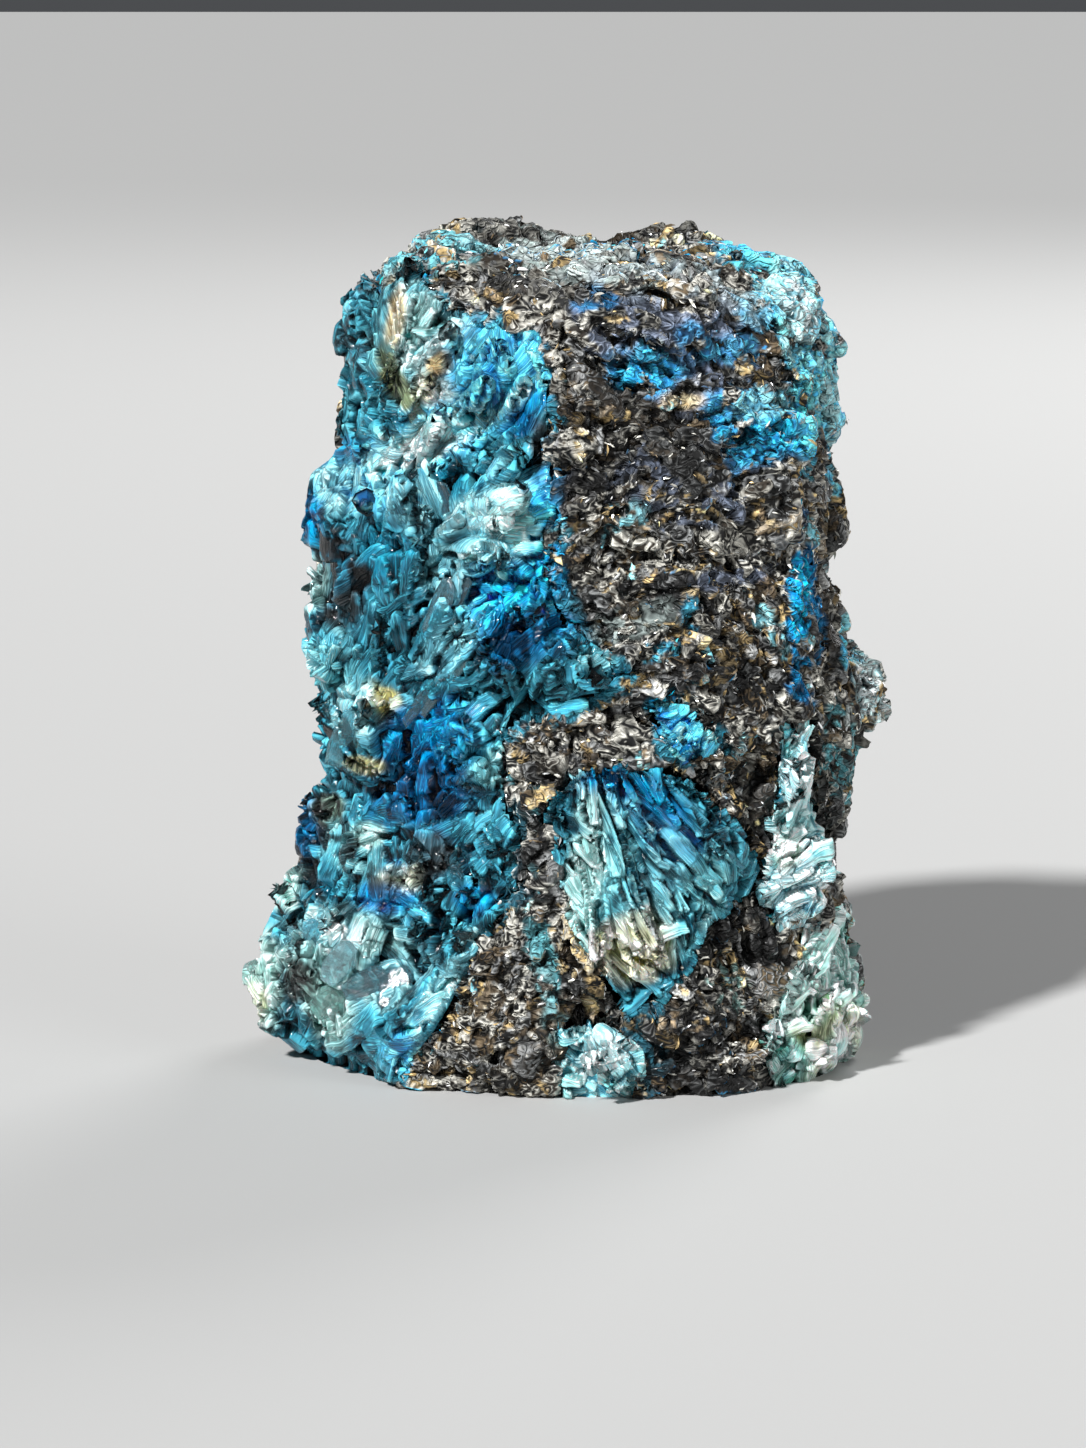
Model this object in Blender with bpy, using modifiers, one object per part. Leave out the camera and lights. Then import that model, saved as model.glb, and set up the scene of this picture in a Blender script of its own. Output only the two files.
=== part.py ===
"""A hand specimen of blue selenite: a block of dark, glittering rock with masses of blue blades grown in it.

Lengths are in millimetres: x runs to the right, y back from the viewer and z up from the surface that the
block stands on. The places of its forms are given as pixels of the photo, and from_photo and to_photo turn
one into the other. The model itself is in metres, with its origin under the middle of the block.
"""

import math
import random

import bmesh
import bpy
from mathutils import Matrix, Vector, noise
from mathutils.bvhtree import BVHTree

MM = 0.001
SEED = 11

# How the photo sees the block: the size of a pixel at the block's middle, the distance and the
# downward tilt of the view, the pixel in the middle of the photo and the point x, z seen there.
MM_PER_PIXEL = 0.0968
VIEW_DISTANCE = 440.0
VIEW_TILT = math.radians(9.0)
PHOTO_MIDDLE = (543, 724)
AIM = (-1.7, 32.5)
FACE_DEPTH = -17.0

# The block before it is parted into rock and crystal. Each row is height, left, right, front, back.
BODY_ROWS = (
    (-4.0, -22.0, 26.0, -17.0, 14.0),
    (0.0, -24.5, 28.5, -18.8, 17.0),
    (5.0, -29.5, 29.0, -20.0, 19.0),
    (10.0, -28.5, 28.0, -20.5, 20.0),
    (15.0, -26.5, 28.0, -20.5, 20.5),
    (20.0, -25.5, 27.2, -20.0, 20.0),
    (26.0, -24.0, 26.8, -19.5, 19.5),
    (31.0, -22.6, 27.2, -19.5, 19.0),
    (36.0, -23.4, 27.4, -19.5, 18.5),
    (42.0, -24.6, 26.6, -19.5, 18.0),
    (52.0, -24.2, 26.0, -19.0, 18.0),
    (57.0, -22.2, 25.2, -18.5, 17.5),
    (62.0, -21.0, 25.8, -18.0, 17.5),
    (69.0, -20.6, 25.4, -17.0, 17.0),
    (73.5, -20.0, 24.2, -16.0, 16.5),
    (77.0, -17.4, 20.6, -14.5, 16.0),
    (80.0, -14.0, 17.5, -12.0, 15.0),
    (82.5, -11.0, 14.0, -9.0, 13.0),
)
# The corners of a level section, from -1 to 1 across and from front to back.
SECTION = (
    (-0.12, -1.0),
    (0.45, -0.96),
    (0.86, -0.62),
    (1.0, 0.0),
    (0.88, 0.78),
    (0.35, 1.0),
    (-0.45, 0.94),
    (-0.92, 0.62),
    (-1.0, -0.05),
    (-0.76, -0.6),
)
SECTION_SIDES = 56
BODY_VOXEL = 1.3
FORM_VOXEL = 0.9
BODY_FACES = 3900
CRYSTAL_FACES_KEPT = 0.7

# The broken top slopes down towards the viewer through this point.
TOP_POINT = (0.0, 2.0, 78.9)
TOP_SLOPE_DEG = 8.0

# Hollows (negative) and swellings of the front face: the pixel, half width and half height in mm, tilt
# in degrees, height.
FRONT_FORMS = (
    (470, 430, 5.0, 7.0, -30.0, -2.0),
    (520, 350, 3.0, 6.0, -20.0, 1.0),
    (445, 600, 4.6, 8.5, -28.0, -3.2),
    (512, 530, 5.0, 3.0, 5.0, 1.5),
    (362, 590, 1.6, 9.0, 0.0, -2.8),
    (325, 560, 2.4, 11.0, 0.0, 1.4),
    (330, 662, 3.0, 3.0, 0.0, 1.6),
    (322, 728, 3.2, 1.3, 0.0, -1.6),
    (356, 708, 2.6, 4.0, 0.0, 1.2),
    (425, 780, 7.0, 3.0, 0.0, -1.4),
    (425, 858, 3.4, 3.0, 0.0, 1.4),
    (320, 886, 3.0, 1.6, 0.0, -2.6),
    (330, 935, 4.6, 2.6, 10.0, 1.3),
    (285, 975, 4.4, 4.2, 0.0, 1.6),
    (388, 975, 3.4, 3.0, 0.0, -2.4),
    (432, 1000, 7.5, 1.6, 52.0, 1.5),
    (366, 1046, 3.0, 1.2, 0.0, -2.2),
    (575, 430, 2.4, 13.0, 0.0, 1.8),
    (613, 532, 9.0, 3.5, -6.0, 1.3),
    (700, 556, 9.0, 1.5, -4.0, -2.2),
    (690, 372, 10.0, 1.4, -12.0, -1.6),
    (640, 320, 9.0, 1.6, -14.0, 1.3),
    (650, 660, 8.0, 3.4, 0.0, 1.5),
    (600, 745, 4.5, 2.6, 10.0, 1.3),
    (640, 880, 6.5, 9.5, 14.0, 1.5),
    (732, 950, 4.2, 4.5, 0.0, -3.0),
    (538, 855, 1.9, 3.6, 0.0, 1.6),
    (485, 1030, 7.0, 4.0, 20.0, 1.2),
    (700, 1035, 8.0, 2.6, 0.0, 1.2),
    (835, 760, 2.4, 5.0, 0.0, 1.2),
    (770, 830, 1.3, 8.0, 0.0, -1.8),
)
# Knobs and dents anywhere on the block: x, y, z, radius, height.
KNOBS = (
    (28.8, -1.0, 34.8, 5.4, 4.2),
    (28.0, 8.0, 56.0, 8.0, 1.6),
    (-22.0, 12.0, 26.0, 9.0, -2.2),
    (-24.0, 14.0, 58.0, 8.0, 2.0),
    (6.0, 20.0, 62.0, 10.0, 1.8),
    (-10.0, 20.0, 40.0, 11.0, -2.4),
    (15.0, 20.0, 26.0, 9.0, 2.2),
    (-16.0, 18.0, 12.0, 9.0, 2.0),
    (24.0, 16.0, 10.0, 8.0, -1.8),
)

# A pocket is the room that one crystal mass fills: its outline as pixels of the photo, and how far back
# it reaches there, y. It runs out in front of the block, and stops at the surface below.
POCKET_FRONT = -40.0
GAP = 0.3
VEIN_POCKET = (
    (440, 150, -3.0),
    (428, 225, -6.0),
    (418, 288, -9.0),
    (455, 316, -10.5),
    (538, 338, -12.0),
    (547, 395, -12.5),
    (551, 480, -13.0),
    (548, 585, -13.0),
    (572, 632, -13.5),
    (612, 660, -14.5),
    (590, 704, -14.0),
    (530, 716, -13.0),
    (499, 750, -12.0),
    (505, 800, -12.5),
    (522, 842, -13.0),
    (514, 900, -13.0),
    (474, 945, -12.5),
    (444, 1000, -11.5),
    (412, 1050, -10.0),
    (400, 1130, -9.0),
    (190, 1130, 11.0),
    (186, 1000, 13.0),
    (190, 900, 11.5),
    (195, 800, 14.0),
    (190, 700, 11.0),
    (190, 590, 13.5),
    (190, 490, 11.5),
    (200, 390, 14.0),
    (210, 290, 11.0),
    (290, 150, 9.0),
)
FAN_POCKET = (
    (549, 794, -14.0),
    (575, 768, -14.5),
    (640, 758, -14.5),
    (692, 780, -13.5),
    (732, 822, -12.5),
    (757, 868, -11.0),
    (742, 900, -11.0),
    (703, 918, -12.0),
    (689, 960, -13.0),
    (660, 995, -14.0),
    (637, 1011, -14.5),
    (612, 990, -14.5),
    (588, 947, -14.0),
    (567, 902, -14.0),
    (551, 852, -13.5),
)
WEDGE_POCKET = (
    (652, 703, -14.5),
    (687, 706, -14.5),
    (716, 742, -14.0),
    (702, 757, -14.0),
    (668, 742, -14.5),
)
SEAM_POCKET = (
    (784, 732, -4.0),
    (812, 738, -2.5),
    (811, 796, -2.5),
    (825, 838, -1.5),
    (830, 883, -1.5),
    (815, 924, -2.5),
    (778, 930, -5.5),
    (765, 890, -7.0),
    (776, 829, -6.0),
    (780, 780, -5.0),
)
CORNER_POCKET = (
    (881, 930, 5.0),
    (902, 1007, 6.0),
    (900, 1130, 5.0),
    (776, 1130, -8.0),
    (763, 1063, -9.0),
    (782, 1009, -7.5),
    (806, 950, -4.5),
    (840, 925, 0.0),
)
BASE_POCKET = (
    (556, 1020, -15.5),
    (600, 1026, -15.5),
    (634, 1042, -15.0),
    (640, 1078, -14.5),
    (632, 1140, -14.5),
    (560, 1140, -14.5),
)

# A spray is a bundle of flat blades with one root. Its numbers are the root's pixel, the way that the
# blades run on the photo in degrees from +x towards +z, their spread to each side of it, how steeply
# they lean out of the face, how many there are, and their length, width and thickness.
VEIN_SPRAYS = (
    (425, 470, 50.0, 14.0, 10.0, 6, 9.5, 2.8, 1.4),
    (458, 420, 48.0, 12.0, 10.0, 5, 8.5, 2.4, 1.3),
    (497, 400, 52.0, 16.0, 12.0, 4, 7.0, 2.2, 1.4),
    (440, 400, 105.0, 16.0, 14.0, 2, 5.0, 3.4, 1.6),
    (464, 522, 3.0, 22.0, 20.0, 6, 9.0, 2.1, 1.5),
    (470, 485, 18.0, 12.0, 18.0, 4, 8.0, 1.9, 1.4),
    (454, 500, 115.0, 18.0, 30.0, 3, 4.5, 2.6, 1.0),
    (400, 535, 60.0, 22.0, 14.0, 4, 7.0, 3.0, 1.2),
    (430, 608, 62.0, 14.0, 14.0, 3, 7.0, 3.0, 1.2),
    (412, 695, 50.0, 10.0, 9.0, 5, 11.0, 2.4, 1.2),
    (492, 600, 280.0, 40.0, 26.0, 5, 5.0, 2.6, 1.8),
    (520, 685, 70.0, 40.0, 20.0, 5, 6.0, 2.4, 1.5),
    (555, 655, 15.0, 25.0, 18.0, 3, 5.5, 2.0, 1.3),
    (372, 330, 250.0, 30.0, 14.0, 4, 6.0, 2.4, 1.4),
    (375, 445, 340.0, 34.0, 20.0, 4, 6.0, 2.6, 1.5),
    (366, 400, 240.0, 30.0, 10.0, 3, 5.0, 2.6, 1.6),
    (362, 752, 86.0, 8.0, 8.0, 2, 7.5, 4.6, 2.4),
    (450, 765, 40.0, 50.0, 24.0, 4, 6.0, 2.8, 1.6),
    (400, 825, 20.0, 60.0, 28.0, 5, 5.0, 2.8, 1.8),
    (340, 815, 215.0, 40.0, 16.0, 3, 4.5, 2.8, 1.7),
    (468, 850, 300.0, 40.0, 26.0, 4, 5.0, 2.6, 1.6),
    (318, 905, 320.0, 30.0, 20.0, 3, 6.0, 3.0, 1.5),
    (338, 952, 50.0, 50.0, 26.0, 4, 5.5, 3.2, 1.8),
    (440, 945, 70.0, 30.0, 20.0, 3, 5.0, 2.4, 1.5),
    (398, 1062, 54.0, 14.0, 12.0, 5, 7.5, 2.2, 1.6),
    (312, 995, 110.0, 50.0, 20.0, 3, 4.5, 3.2, 2.0),
)
# Rounded lumps on the vein: the pixel and the radius.
VEIN_LUMPS = (
    (322, 482, 2.3),
    (309, 532, 1.9),
    (306, 580, 2.1),
    (316, 618, 1.7),
    (328, 660, 2.8),
    (350, 682, 1.9),
    (330, 706, 1.8),
    (328, 745, 2.1),
    (302, 803, 2.0),
    (297, 838, 2.1),
    (288, 882, 2.0),
    (266, 935, 2.2),
    (257, 982, 2.5),
    (276, 1016, 2.3),
    (318, 1026, 2.1),
    (343, 336, 1.9),
    (356, 292, 1.8),
    (388, 262, 1.7),
    (346, 400, 1.7),
)
FAN_SPRAYS = (
    (572, 800, 282.0, 8.0, -3.0, 3, 15.0, 3.0, 1.8),
    (600, 778, 292.0, 10.0, -5.0, 4, 17.0, 2.8, 2.0),
    (640, 772, 305.0, 10.0, -4.0, 4, 15.0, 2.6, 1.8),
    (682, 784, 318.0, 8.0, 0.0, 3, 10.0, 2.4, 1.6),
    (615, 900, 280.0, 14.0, 2.0, 3, 9.0, 2.6, 1.6),
)
SEAM_SPRAYS = (
    (786, 915, 62.0, 16.0, 12.0, 3, 8.0, 2.6, 1.3),
    (795, 820, 80.0, 14.0, 12.0, 3, 7.0, 2.2, 1.2),
)
CORNER_SPRAYS = (
    (806, 1040, 75.0, 22.0, 8.0, 4, 7.0, 3.2, 1.8),
)
CORNER_LUMPS = (
    (850, 1020, 2.3),
    (812, 1052, 2.1),
    (790, 1045, 1.7),
)
BASE_SPRAYS = (
    (632, 1040, 200.0, 18.0, 12.0, 4, 7.0, 2.0, 1.1),
)
WEDGE_SPRAYS = (
    (658, 712, 322.0, 8.0, 10.0, 3, 6.5, 2.2, 1.4),
)

SPRAY_CLOSENESS = 0.75
TIP_SHARE = 0.45
ROOT_DEPTH = 1.2
GROUND_SIZE = 60.0

# Colour, roughness and metallic value of each piece's finish.
FINISHES = {
    "matrix_rock": ((0.045, 0.038, 0.032), 0.42, 0.35),
    "blue_crystal_vein": ((0.06, 0.38, 0.62), 0.16, 0.0),
    "crystal_fan": ((0.14, 0.45, 0.55), 0.18, 0.0),
    "blue_wedge": ((0.08, 0.50, 0.75), 0.18, 0.0),
    "seam_crystals": ((0.48, 0.74, 0.84), 0.25, 0.0),
    "corner_crystals": ((0.62, 0.72, 0.60), 0.25, 0.0),
    "base_crystals": ((0.42, 0.68, 0.72), 0.25, 0.0),
}


def from_photo(pixel_x, pixel_y, depth):
    """The place x, z that shows at a pixel of the photo, at this depth y."""
    across = (pixel_x - PHOTO_MIDDLE[0]) * MM_PER_PIXEL
    rise = (PHOTO_MIDDLE[1] - pixel_y) * MM_PER_PIXEL
    back = VIEW_DISTANCE * math.cos(VIEW_TILT)
    height = VIEW_DISTANCE * math.sin(VIEW_TILT)
    share = (back + depth) / (back + rise * math.sin(VIEW_TILT))
    return AIM[0] + share * across, AIM[1] + height + share * (rise * math.cos(VIEW_TILT) - height)


def to_photo(point):
    """The pixel of the photo at which a point of the block shows."""
    away = Vector((point.x - AIM[0], point.y, point.z - AIM[1]))
    ahead = VIEW_DISTANCE + away.y * math.cos(VIEW_TILT) - away.z * math.sin(VIEW_TILT)
    rise = away.y * math.sin(VIEW_TILT) + away.z * math.cos(VIEW_TILT)
    zoom = VIEW_DISTANCE / ahead / MM_PER_PIXEL
    return PHOTO_MIDDLE[0] + away.x * zoom, PHOTO_MIDDLE[1] - rise * zoom


def clear_scene():
    for obj in list(bpy.data.objects):
        bpy.data.objects.remove(obj)


def new_collection(name):
    made = bpy.data.collections.new(name)
    bpy.context.scene.collection.children.link(made)
    return made


def add_object(name, mesh, collection, helper=False):
    obj = bpy.data.objects.new(name, mesh)
    collection.objects.link(obj)
    if helper:
        obj.hide_render = True
        obj.display_type = "WIRE"
    return obj


def mesh_from(bm, name):
    """Turns the bmesh into a mesh in metres."""
    bmesh.ops.scale(bm, vec=Vector((MM, MM, MM)), verts=bm.verts)
    bmesh.ops.recalc_face_normals(bm, faces=bm.faces)
    mesh = bpy.data.meshes.new(name)
    bm.to_mesh(mesh)
    bm.free()
    return mesh


def settle(obj):
    """Replaces the object's mesh by what its modifiers make of it."""
    bpy.context.view_layer.update()
    graph = bpy.context.evaluated_depsgraph_get()
    mesh = bpy.data.meshes.new_from_object(obj.evaluated_get(graph))
    obj.modifiers.clear()
    obj.data = mesh


def keep_largest_body(obj):
    """Drops the loose chips that a Boolean leaves beside the main body."""
    bm = bmesh.new()
    bm.from_mesh(obj.data)
    seen = set()
    groups = []
    for start in bm.faces:
        if start in seen:
            continue
        seen.add(start)
        group = [start]
        for face in group:
            for edge in face.edges:
                for other in edge.link_faces:
                    if other not in seen:
                        seen.add(other)
                        group.append(other)
        groups.append(group)
    groups.sort(key=len)
    for group in groups[:-1]:
        bmesh.ops.delete(bm, geom=group, context="FACES")
    bmesh.ops.triangulate(bm, faces=bm.faces)
    bm.to_mesh(obj.data)
    bm.free()


def section_radius(angle):
    """Distance from the middle of the unit section to its outline, that way."""
    way = Vector((math.cos(angle), math.sin(angle)))
    for start, end in zip(SECTION, SECTION[1:] + SECTION[:1]):
        a, b = Vector(start), Vector(end)
        side = b - a
        turn = way.cross(side)
        if abs(turn) < 1e-9:
            continue
        along = a.cross(side) / turn
        share = a.cross(way) / turn
        if along > 0 and -1e-6 <= share <= 1 + 1e-6:
            return along
    return 1.0


def lofted_block():
    """Rows of ten-cornered sections, bridged from the foot to the top."""
    bm = bmesh.new()
    rings = []
    for height, left, right, front, back in BODY_ROWS:
        ring = bmesh.ops.create_circle(bm, segments=SECTION_SIDES, radius=1.0)["verts"]
        for vert in ring:
            angle = math.atan2(vert.co.y, vert.co.x)
            radius = section_radius(angle)
            across = (1 + radius * math.cos(angle)) / 2
            deep = (1 + radius * math.sin(angle)) / 2
            vert.co = (left + (right - left) * across, front + (back - front) * deep, height)
        rings.append(ring)
    for lower, upper in zip(rings, rings[1:]):
        for number in range(SECTION_SIDES):
            after = (number + 1) % SECTION_SIDES
            bm.faces.new((lower[number], lower[after], upper[after], upper[number]))
    for ring in (rings[0], rings[-1]):
        bmesh.ops.contextual_create(bm, geom=ring)
    return bm


def cut_flat(bm, point, normal):
    """Takes off what lies beyond a plane and closes the cut."""
    geometry = bm.verts[:] + bm.edges[:] + bm.faces[:]
    cut = bmesh.ops.bisect_plane(bm, geom=geometry, plane_co=point, plane_no=normal, clear_outer=True)
    edges = [item for item in cut["geom_cut"] if isinstance(item, bmesh.types.BMEdge)]
    bmesh.ops.edgeloop_fill(bm, edges=edges)


def front_relief(point):
    """Height of the front face's named hollows and swellings at a point of the block."""
    pixel_x, pixel_y = to_photo(point)
    height = 0.0
    for form_x, form_y, half_x, half_z, tilt, rise in FRONT_FORMS:
        turn = math.radians(tilt)
        dx, dz = (pixel_x - form_x) * MM_PER_PIXEL, (form_y - pixel_y) * MM_PER_PIXEL
        u = (dx * math.cos(turn) + dz * math.sin(turn)) / half_x
        v = (dz * math.cos(turn) - dx * math.sin(turn)) / half_z
        height += rise * math.exp(-(u * u + v * v))
    return height


def rough_relief(point):
    """Lumps, ledges and pits of broken rock. Its beds lie nearly level and dip to the right."""
    lumps = noise.fractal(point / 13.0, 1.0, 2.0, 3)
    bedded = Vector((point.x / 11.0, point.y / 11.0, (point.z + 0.14 * point.x) / 3.6))
    ledges = noise.ridged_multi_fractal(bedded, 1.0, 2.1, 2, 1.0, 2.0)
    pits = noise.turbulence(point / 5.0, 2, False)
    return 1.5 * lumps + 1.1 * (ledges - 1.1) + 1.1 * (0.35 - pits)


def shape_surface(mesh):
    """Moves each point of the block along its normal by the relief."""
    for vert in mesh.vertices:
        point = vert.co / MM
        normal = vert.normal
        facing = max(0.0, -normal.y)
        rise = rough_relief(point) + facing * front_relief(point)
        for x, y, z, radius, height in KNOBS:
            away = (point - Vector((x, y, z))).length / radius
            rise += height * math.exp(-away * away)
        vert.co = vert.co + normal * (rise * MM)
    mesh.update()


def make_block(helpers):
    bm = lofted_block()
    slope = math.radians(TOP_SLOPE_DEG)
    cut_flat(bm, Vector(TOP_POINT), Vector((0.0, -math.sin(slope), math.cos(slope))))
    block = add_object("block", mesh_from(bm, "block"), helpers, helper=True)
    remesh = block.modifiers.new("even_faces", "REMESH")
    remesh.mode = "VOXEL"
    remesh.voxel_size = BODY_VOXEL * MM
    settle(block)
    shape_surface(block.data)
    whole = block.modifiers.new("no_folds", "REMESH")
    whole.mode = "VOXEL"
    whole.voxel_size = FORM_VOXEL * MM
    settle(block)
    thin = block.modifiers.new("rock_faces", "DECIMATE")
    thin.ratio = BODY_FACES / (2 * len(block.data.polygons))
    settle(block)
    return block


def pocket_outline(pixels):
    """The outline on the block's front face, ending at the surface that the block stands on."""
    placed = [(*from_photo(pixel_x, pixel_y, FACE_DEPTH), back) for pixel_x, pixel_y, back in pixels]
    return tuple((x, max(0.0, z), back) for x, z, back in placed)


def grown(outline, by):
    """The pocket's outline moved outwards, and its floor moved back, by this much."""
    area = sum(a[0] * b[1] - b[0] * a[1] for a, b in zip(outline, outline[1:] + outline[:1]))
    side = -1.0 if area > 0 else 1.0
    moved = []
    for before, here, after in zip(outline[-1:] + outline[:-1], outline, outline[1:] + outline[:1]):
        ahead = Vector((after[0] - here[0], after[1] - here[1])).normalized()
        behind = Vector((here[0] - before[0], here[1] - before[1])).normalized()
        outward = side * (Vector((-ahead.y, ahead.x)) + Vector((-behind.y, behind.x)))
        outward = outward / max(0.35, outward.length_squared / 2)
        moved.append((here[0] + by * outward.x, here[1] + by * outward.y, here[2] + 1.4 * by))
    return tuple(moved)


def pocket(name, outline, helpers):
    """A flat outline on the front view, drawn out to the front, with its own depth at each corner."""
    curve = bpy.data.curves.new(name, "CURVE")
    curve.dimensions = "2D"
    curve.fill_mode = "BOTH"
    curve.extrude = -POCKET_FRONT / 2 * MM
    spline = curve.splines.new("POLY")
    spline.points.add(len(outline) - 1)
    spline.use_cyclic_u = True
    for point, (x, z, _) in zip(spline.points, outline):
        point.co = (x * MM, z * MM, 0.0, 1.0)
    flat = bpy.data.objects.new(name, curve)
    helpers.objects.link(flat)
    flat.matrix_world = Matrix.Translation((0.0, POCKET_FRONT / 2 * MM, 0.0)) @ Matrix.Rotation(
        math.pi / 2, 4, "X"
    )
    bpy.context.view_layer.update()
    graph = bpy.context.evaluated_depsgraph_get()
    mesh = bpy.data.meshes.new_from_object(flat.evaluated_get(graph))
    mesh.transform(flat.matrix_world)
    bpy.data.objects.remove(flat)
    bm = bmesh.new()
    bm.from_mesh(mesh)
    bmesh.ops.remove_doubles(bm, verts=bm.verts, dist=0.01 * MM)
    for vert in bm.verts:
        if vert.co.y > POCKET_FRONT / 2 * MM:
            nearest = min(outline, key=lambda p: math.dist(p[:2], (vert.co.x / MM, vert.co.z / MM)))
            vert.co.y = nearest[2] * MM
    bmesh.ops.recalc_face_normals(bm, faces=bm.faces)
    bmesh.ops.triangulate(bm, faces=bm.faces)
    bm.to_mesh(mesh)
    bm.free()
    return add_object(name, mesh, helpers, helper=True)


def face_at(surface, pixel_x, pixel_y):
    """The point of the block that shows at this pixel, and its normal."""
    near, far = POCKET_FRONT, 0.0
    near_x, near_z = from_photo(pixel_x, pixel_y, near)
    far_x, far_z = from_photo(pixel_x, pixel_y, far)
    start = Vector((near_x, near, near_z)) * MM
    end = Vector((far_x, far, far_z)) * MM
    hit, normal, _, _ = surface.ray_cast(start, (end - start).normalized())
    if hit is None:
        hit, normal, _, _ = surface.find_nearest(end)
    return hit, normal


def blade_mesh(name, length, width, thickness, taper, turned):
    """A flat four-sided blade along +z, drawn in towards a blunt, slanting tip."""
    bm = bmesh.new()
    bmesh.ops.create_cone(bm, cap_ends=True, segments=4, radius1=0.5, radius2=0.5 * taper, depth=1.0)
    bmesh.ops.rotate(bm, verts=bm.verts, matrix=Matrix.Rotation(turned, 3, "Z"))
    for vert in bm.verts:
        top = vert.co.z > 0
        slant = 0.5 * TIP_SHARE * vert.co.x if top else 0.0
        vert.co = (vert.co.x * width, vert.co.y * thickness, (vert.co.z + 0.5 + slant) * length)
    return mesh_from(bm, name)


def add_spray(name, spray, surface, collection, draw):
    pixel_x, pixel_y, way, spread, lean, count, length, width, thickness = spray
    for number in range(count):
        share = (number + 0.5) / count * 2 - 1
        angle = math.radians(way + spread * share + draw.uniform(-4, 4))
        aside = -0.5 * share * count * width / MM_PER_PIXEL * SPRAY_CLOSENESS
        root_x = pixel_x + aside * math.sin(math.radians(way)) + draw.uniform(-8, 8)
        root_y = pixel_y + aside * math.cos(math.radians(way)) + draw.uniform(-8, 8)
        root, normal = face_at(surface, root_x, root_y)
        run = Vector((math.cos(angle), 0.0, math.sin(angle)))
        run = (run - normal * run.dot(normal)).normalized()
        tilt = math.radians(lean * draw.uniform(0.5, 1.4))
        along = (run * math.cos(tilt) + normal * math.sin(tilt)).normalized()
        flat = normal.cross(along).normalized()
        turn = Matrix((flat, along.cross(flat), along)).transposed().to_4x4()
        roll = Matrix.Rotation(draw.uniform(-0.6, 0.6), 4, "Z")
        size = draw.uniform(0.75, 1.2)
        shape = (length * size, width * size, thickness * size, draw.uniform(0.5, 0.85))
        mesh = blade_mesh(f"{name}_blade", *shape, draw.choice((0.0, math.pi / 4)))
        blade = add_object(f"{name}_blade_{number}", mesh, collection, helper=True)
        blade.matrix_world = Matrix.Translation(root - along * ROOT_DEPTH * MM) @ turn @ roll


def add_lump(name, lump, surface, collection, draw):
    pixel_x, pixel_y, radius = lump
    bm = bmesh.new()
    bmesh.ops.create_icosphere(bm, subdivisions=1, radius=radius)
    for vert in bm.verts:
        vert.co *= draw.uniform(0.85, 1.12)
    ball = add_object(name, mesh_from(bm, name), collection, helper=True)
    hit, normal = face_at(surface, pixel_x, pixel_y)
    ball.matrix_world = Matrix.Translation(hit - normal * 0.35 * radius * MM)


def crystal_mass(name, pixels, sprays, lumps, block, surface, parts, helpers):
    """The part of the block inside a pocket, with its blades and lumps grown out of it."""
    draw = random.Random(f"{SEED}{name}")
    grown_here = bpy.data.collections.new(f"{name}_crystals")
    helpers.children.link(grown_here)
    for number, spray in enumerate(sprays):
        add_spray(f"{name}_{number}", spray, surface, grown_here, draw)
    for number, lump in enumerate(lumps):
        add_lump(f"{name}_lump_{number}", lump, surface, grown_here, draw)
    room = pocket(f"{name}_room", pocket_outline(pixels), helpers)
    mass = add_object(name, block.data.copy(), parts)
    # The exact solver leaves holes where many blades cross one another, so these three use the manifold
    # one. It needs closed meshes, which the block, the pocket, the blades and the lumps all are.
    inside = mass.modifiers.new("in_the_pocket", "BOOLEAN")
    inside.solver = "MANIFOLD"
    inside.operation = "INTERSECT"
    inside.object = room
    crystals = mass.modifiers.new("crystals", "BOOLEAN")
    crystals.solver = "MANIFOLD"
    crystals.operation = "UNION"
    crystals.operand_type = "COLLECTION"
    crystals.collection = grown_here
    trim = mass.modifiers.new("trimmed", "BOOLEAN")
    trim.solver = "MANIFOLD"
    trim.operation = "INTERSECT"
    trim.object = room
    settle(mass)
    keep_largest_body(mass)
    thin = mass.modifiers.new("fewer_faces", "DECIMATE")
    thin.ratio = CRYSTAL_FACES_KEPT
    settle(mass)
    return mass


def ground(helpers):
    """A slab under the surface that the block stands on."""
    bm = bmesh.new()
    bmesh.ops.create_cube(bm, size=2 * GROUND_SIZE)
    bmesh.ops.translate(bm, verts=bm.verts, vec=(0.0, 0.0, -GROUND_SIZE))
    return add_object("ground", mesh_from(bm, "ground"), helpers, helper=True)


def finish(obj):
    colour, roughness, metallic = FINISHES[obj.name]
    material = bpy.data.materials.new(obj.name)
    material.use_nodes = True
    shader = material.node_tree.nodes["Principled BSDF"]
    shader.inputs["Base Color"].default_value = (*colour, 1.0)
    shader.inputs["Roughness"].default_value = roughness
    shader.inputs["Metallic"].default_value = metallic
    obj.data.materials.clear()
    obj.data.materials.append(material)


def centre_on_origin(objects):
    """Puts the middle of the block's footprint over the origin."""
    points = [vert.co for obj in objects for vert in obj.data.vertices]
    middle = [(min(p[i] for p in points) + max(p[i] for p in points)) / 2 for i in range(2)]
    for obj in objects:
        obj.data.transform(Matrix.Translation((-middle[0], -middle[1], 0.0)))


MASSES = (
    ("blue_crystal_vein", VEIN_POCKET, VEIN_SPRAYS, VEIN_LUMPS),
    ("crystal_fan", FAN_POCKET, FAN_SPRAYS, ()),
    ("blue_wedge", WEDGE_POCKET, WEDGE_SPRAYS, ()),
    ("seam_crystals", SEAM_POCKET, SEAM_SPRAYS, ()),
    ("corner_crystals", CORNER_POCKET, CORNER_SPRAYS, CORNER_LUMPS),
    ("base_crystals", BASE_POCKET, BASE_SPRAYS, ()),
)


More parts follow.
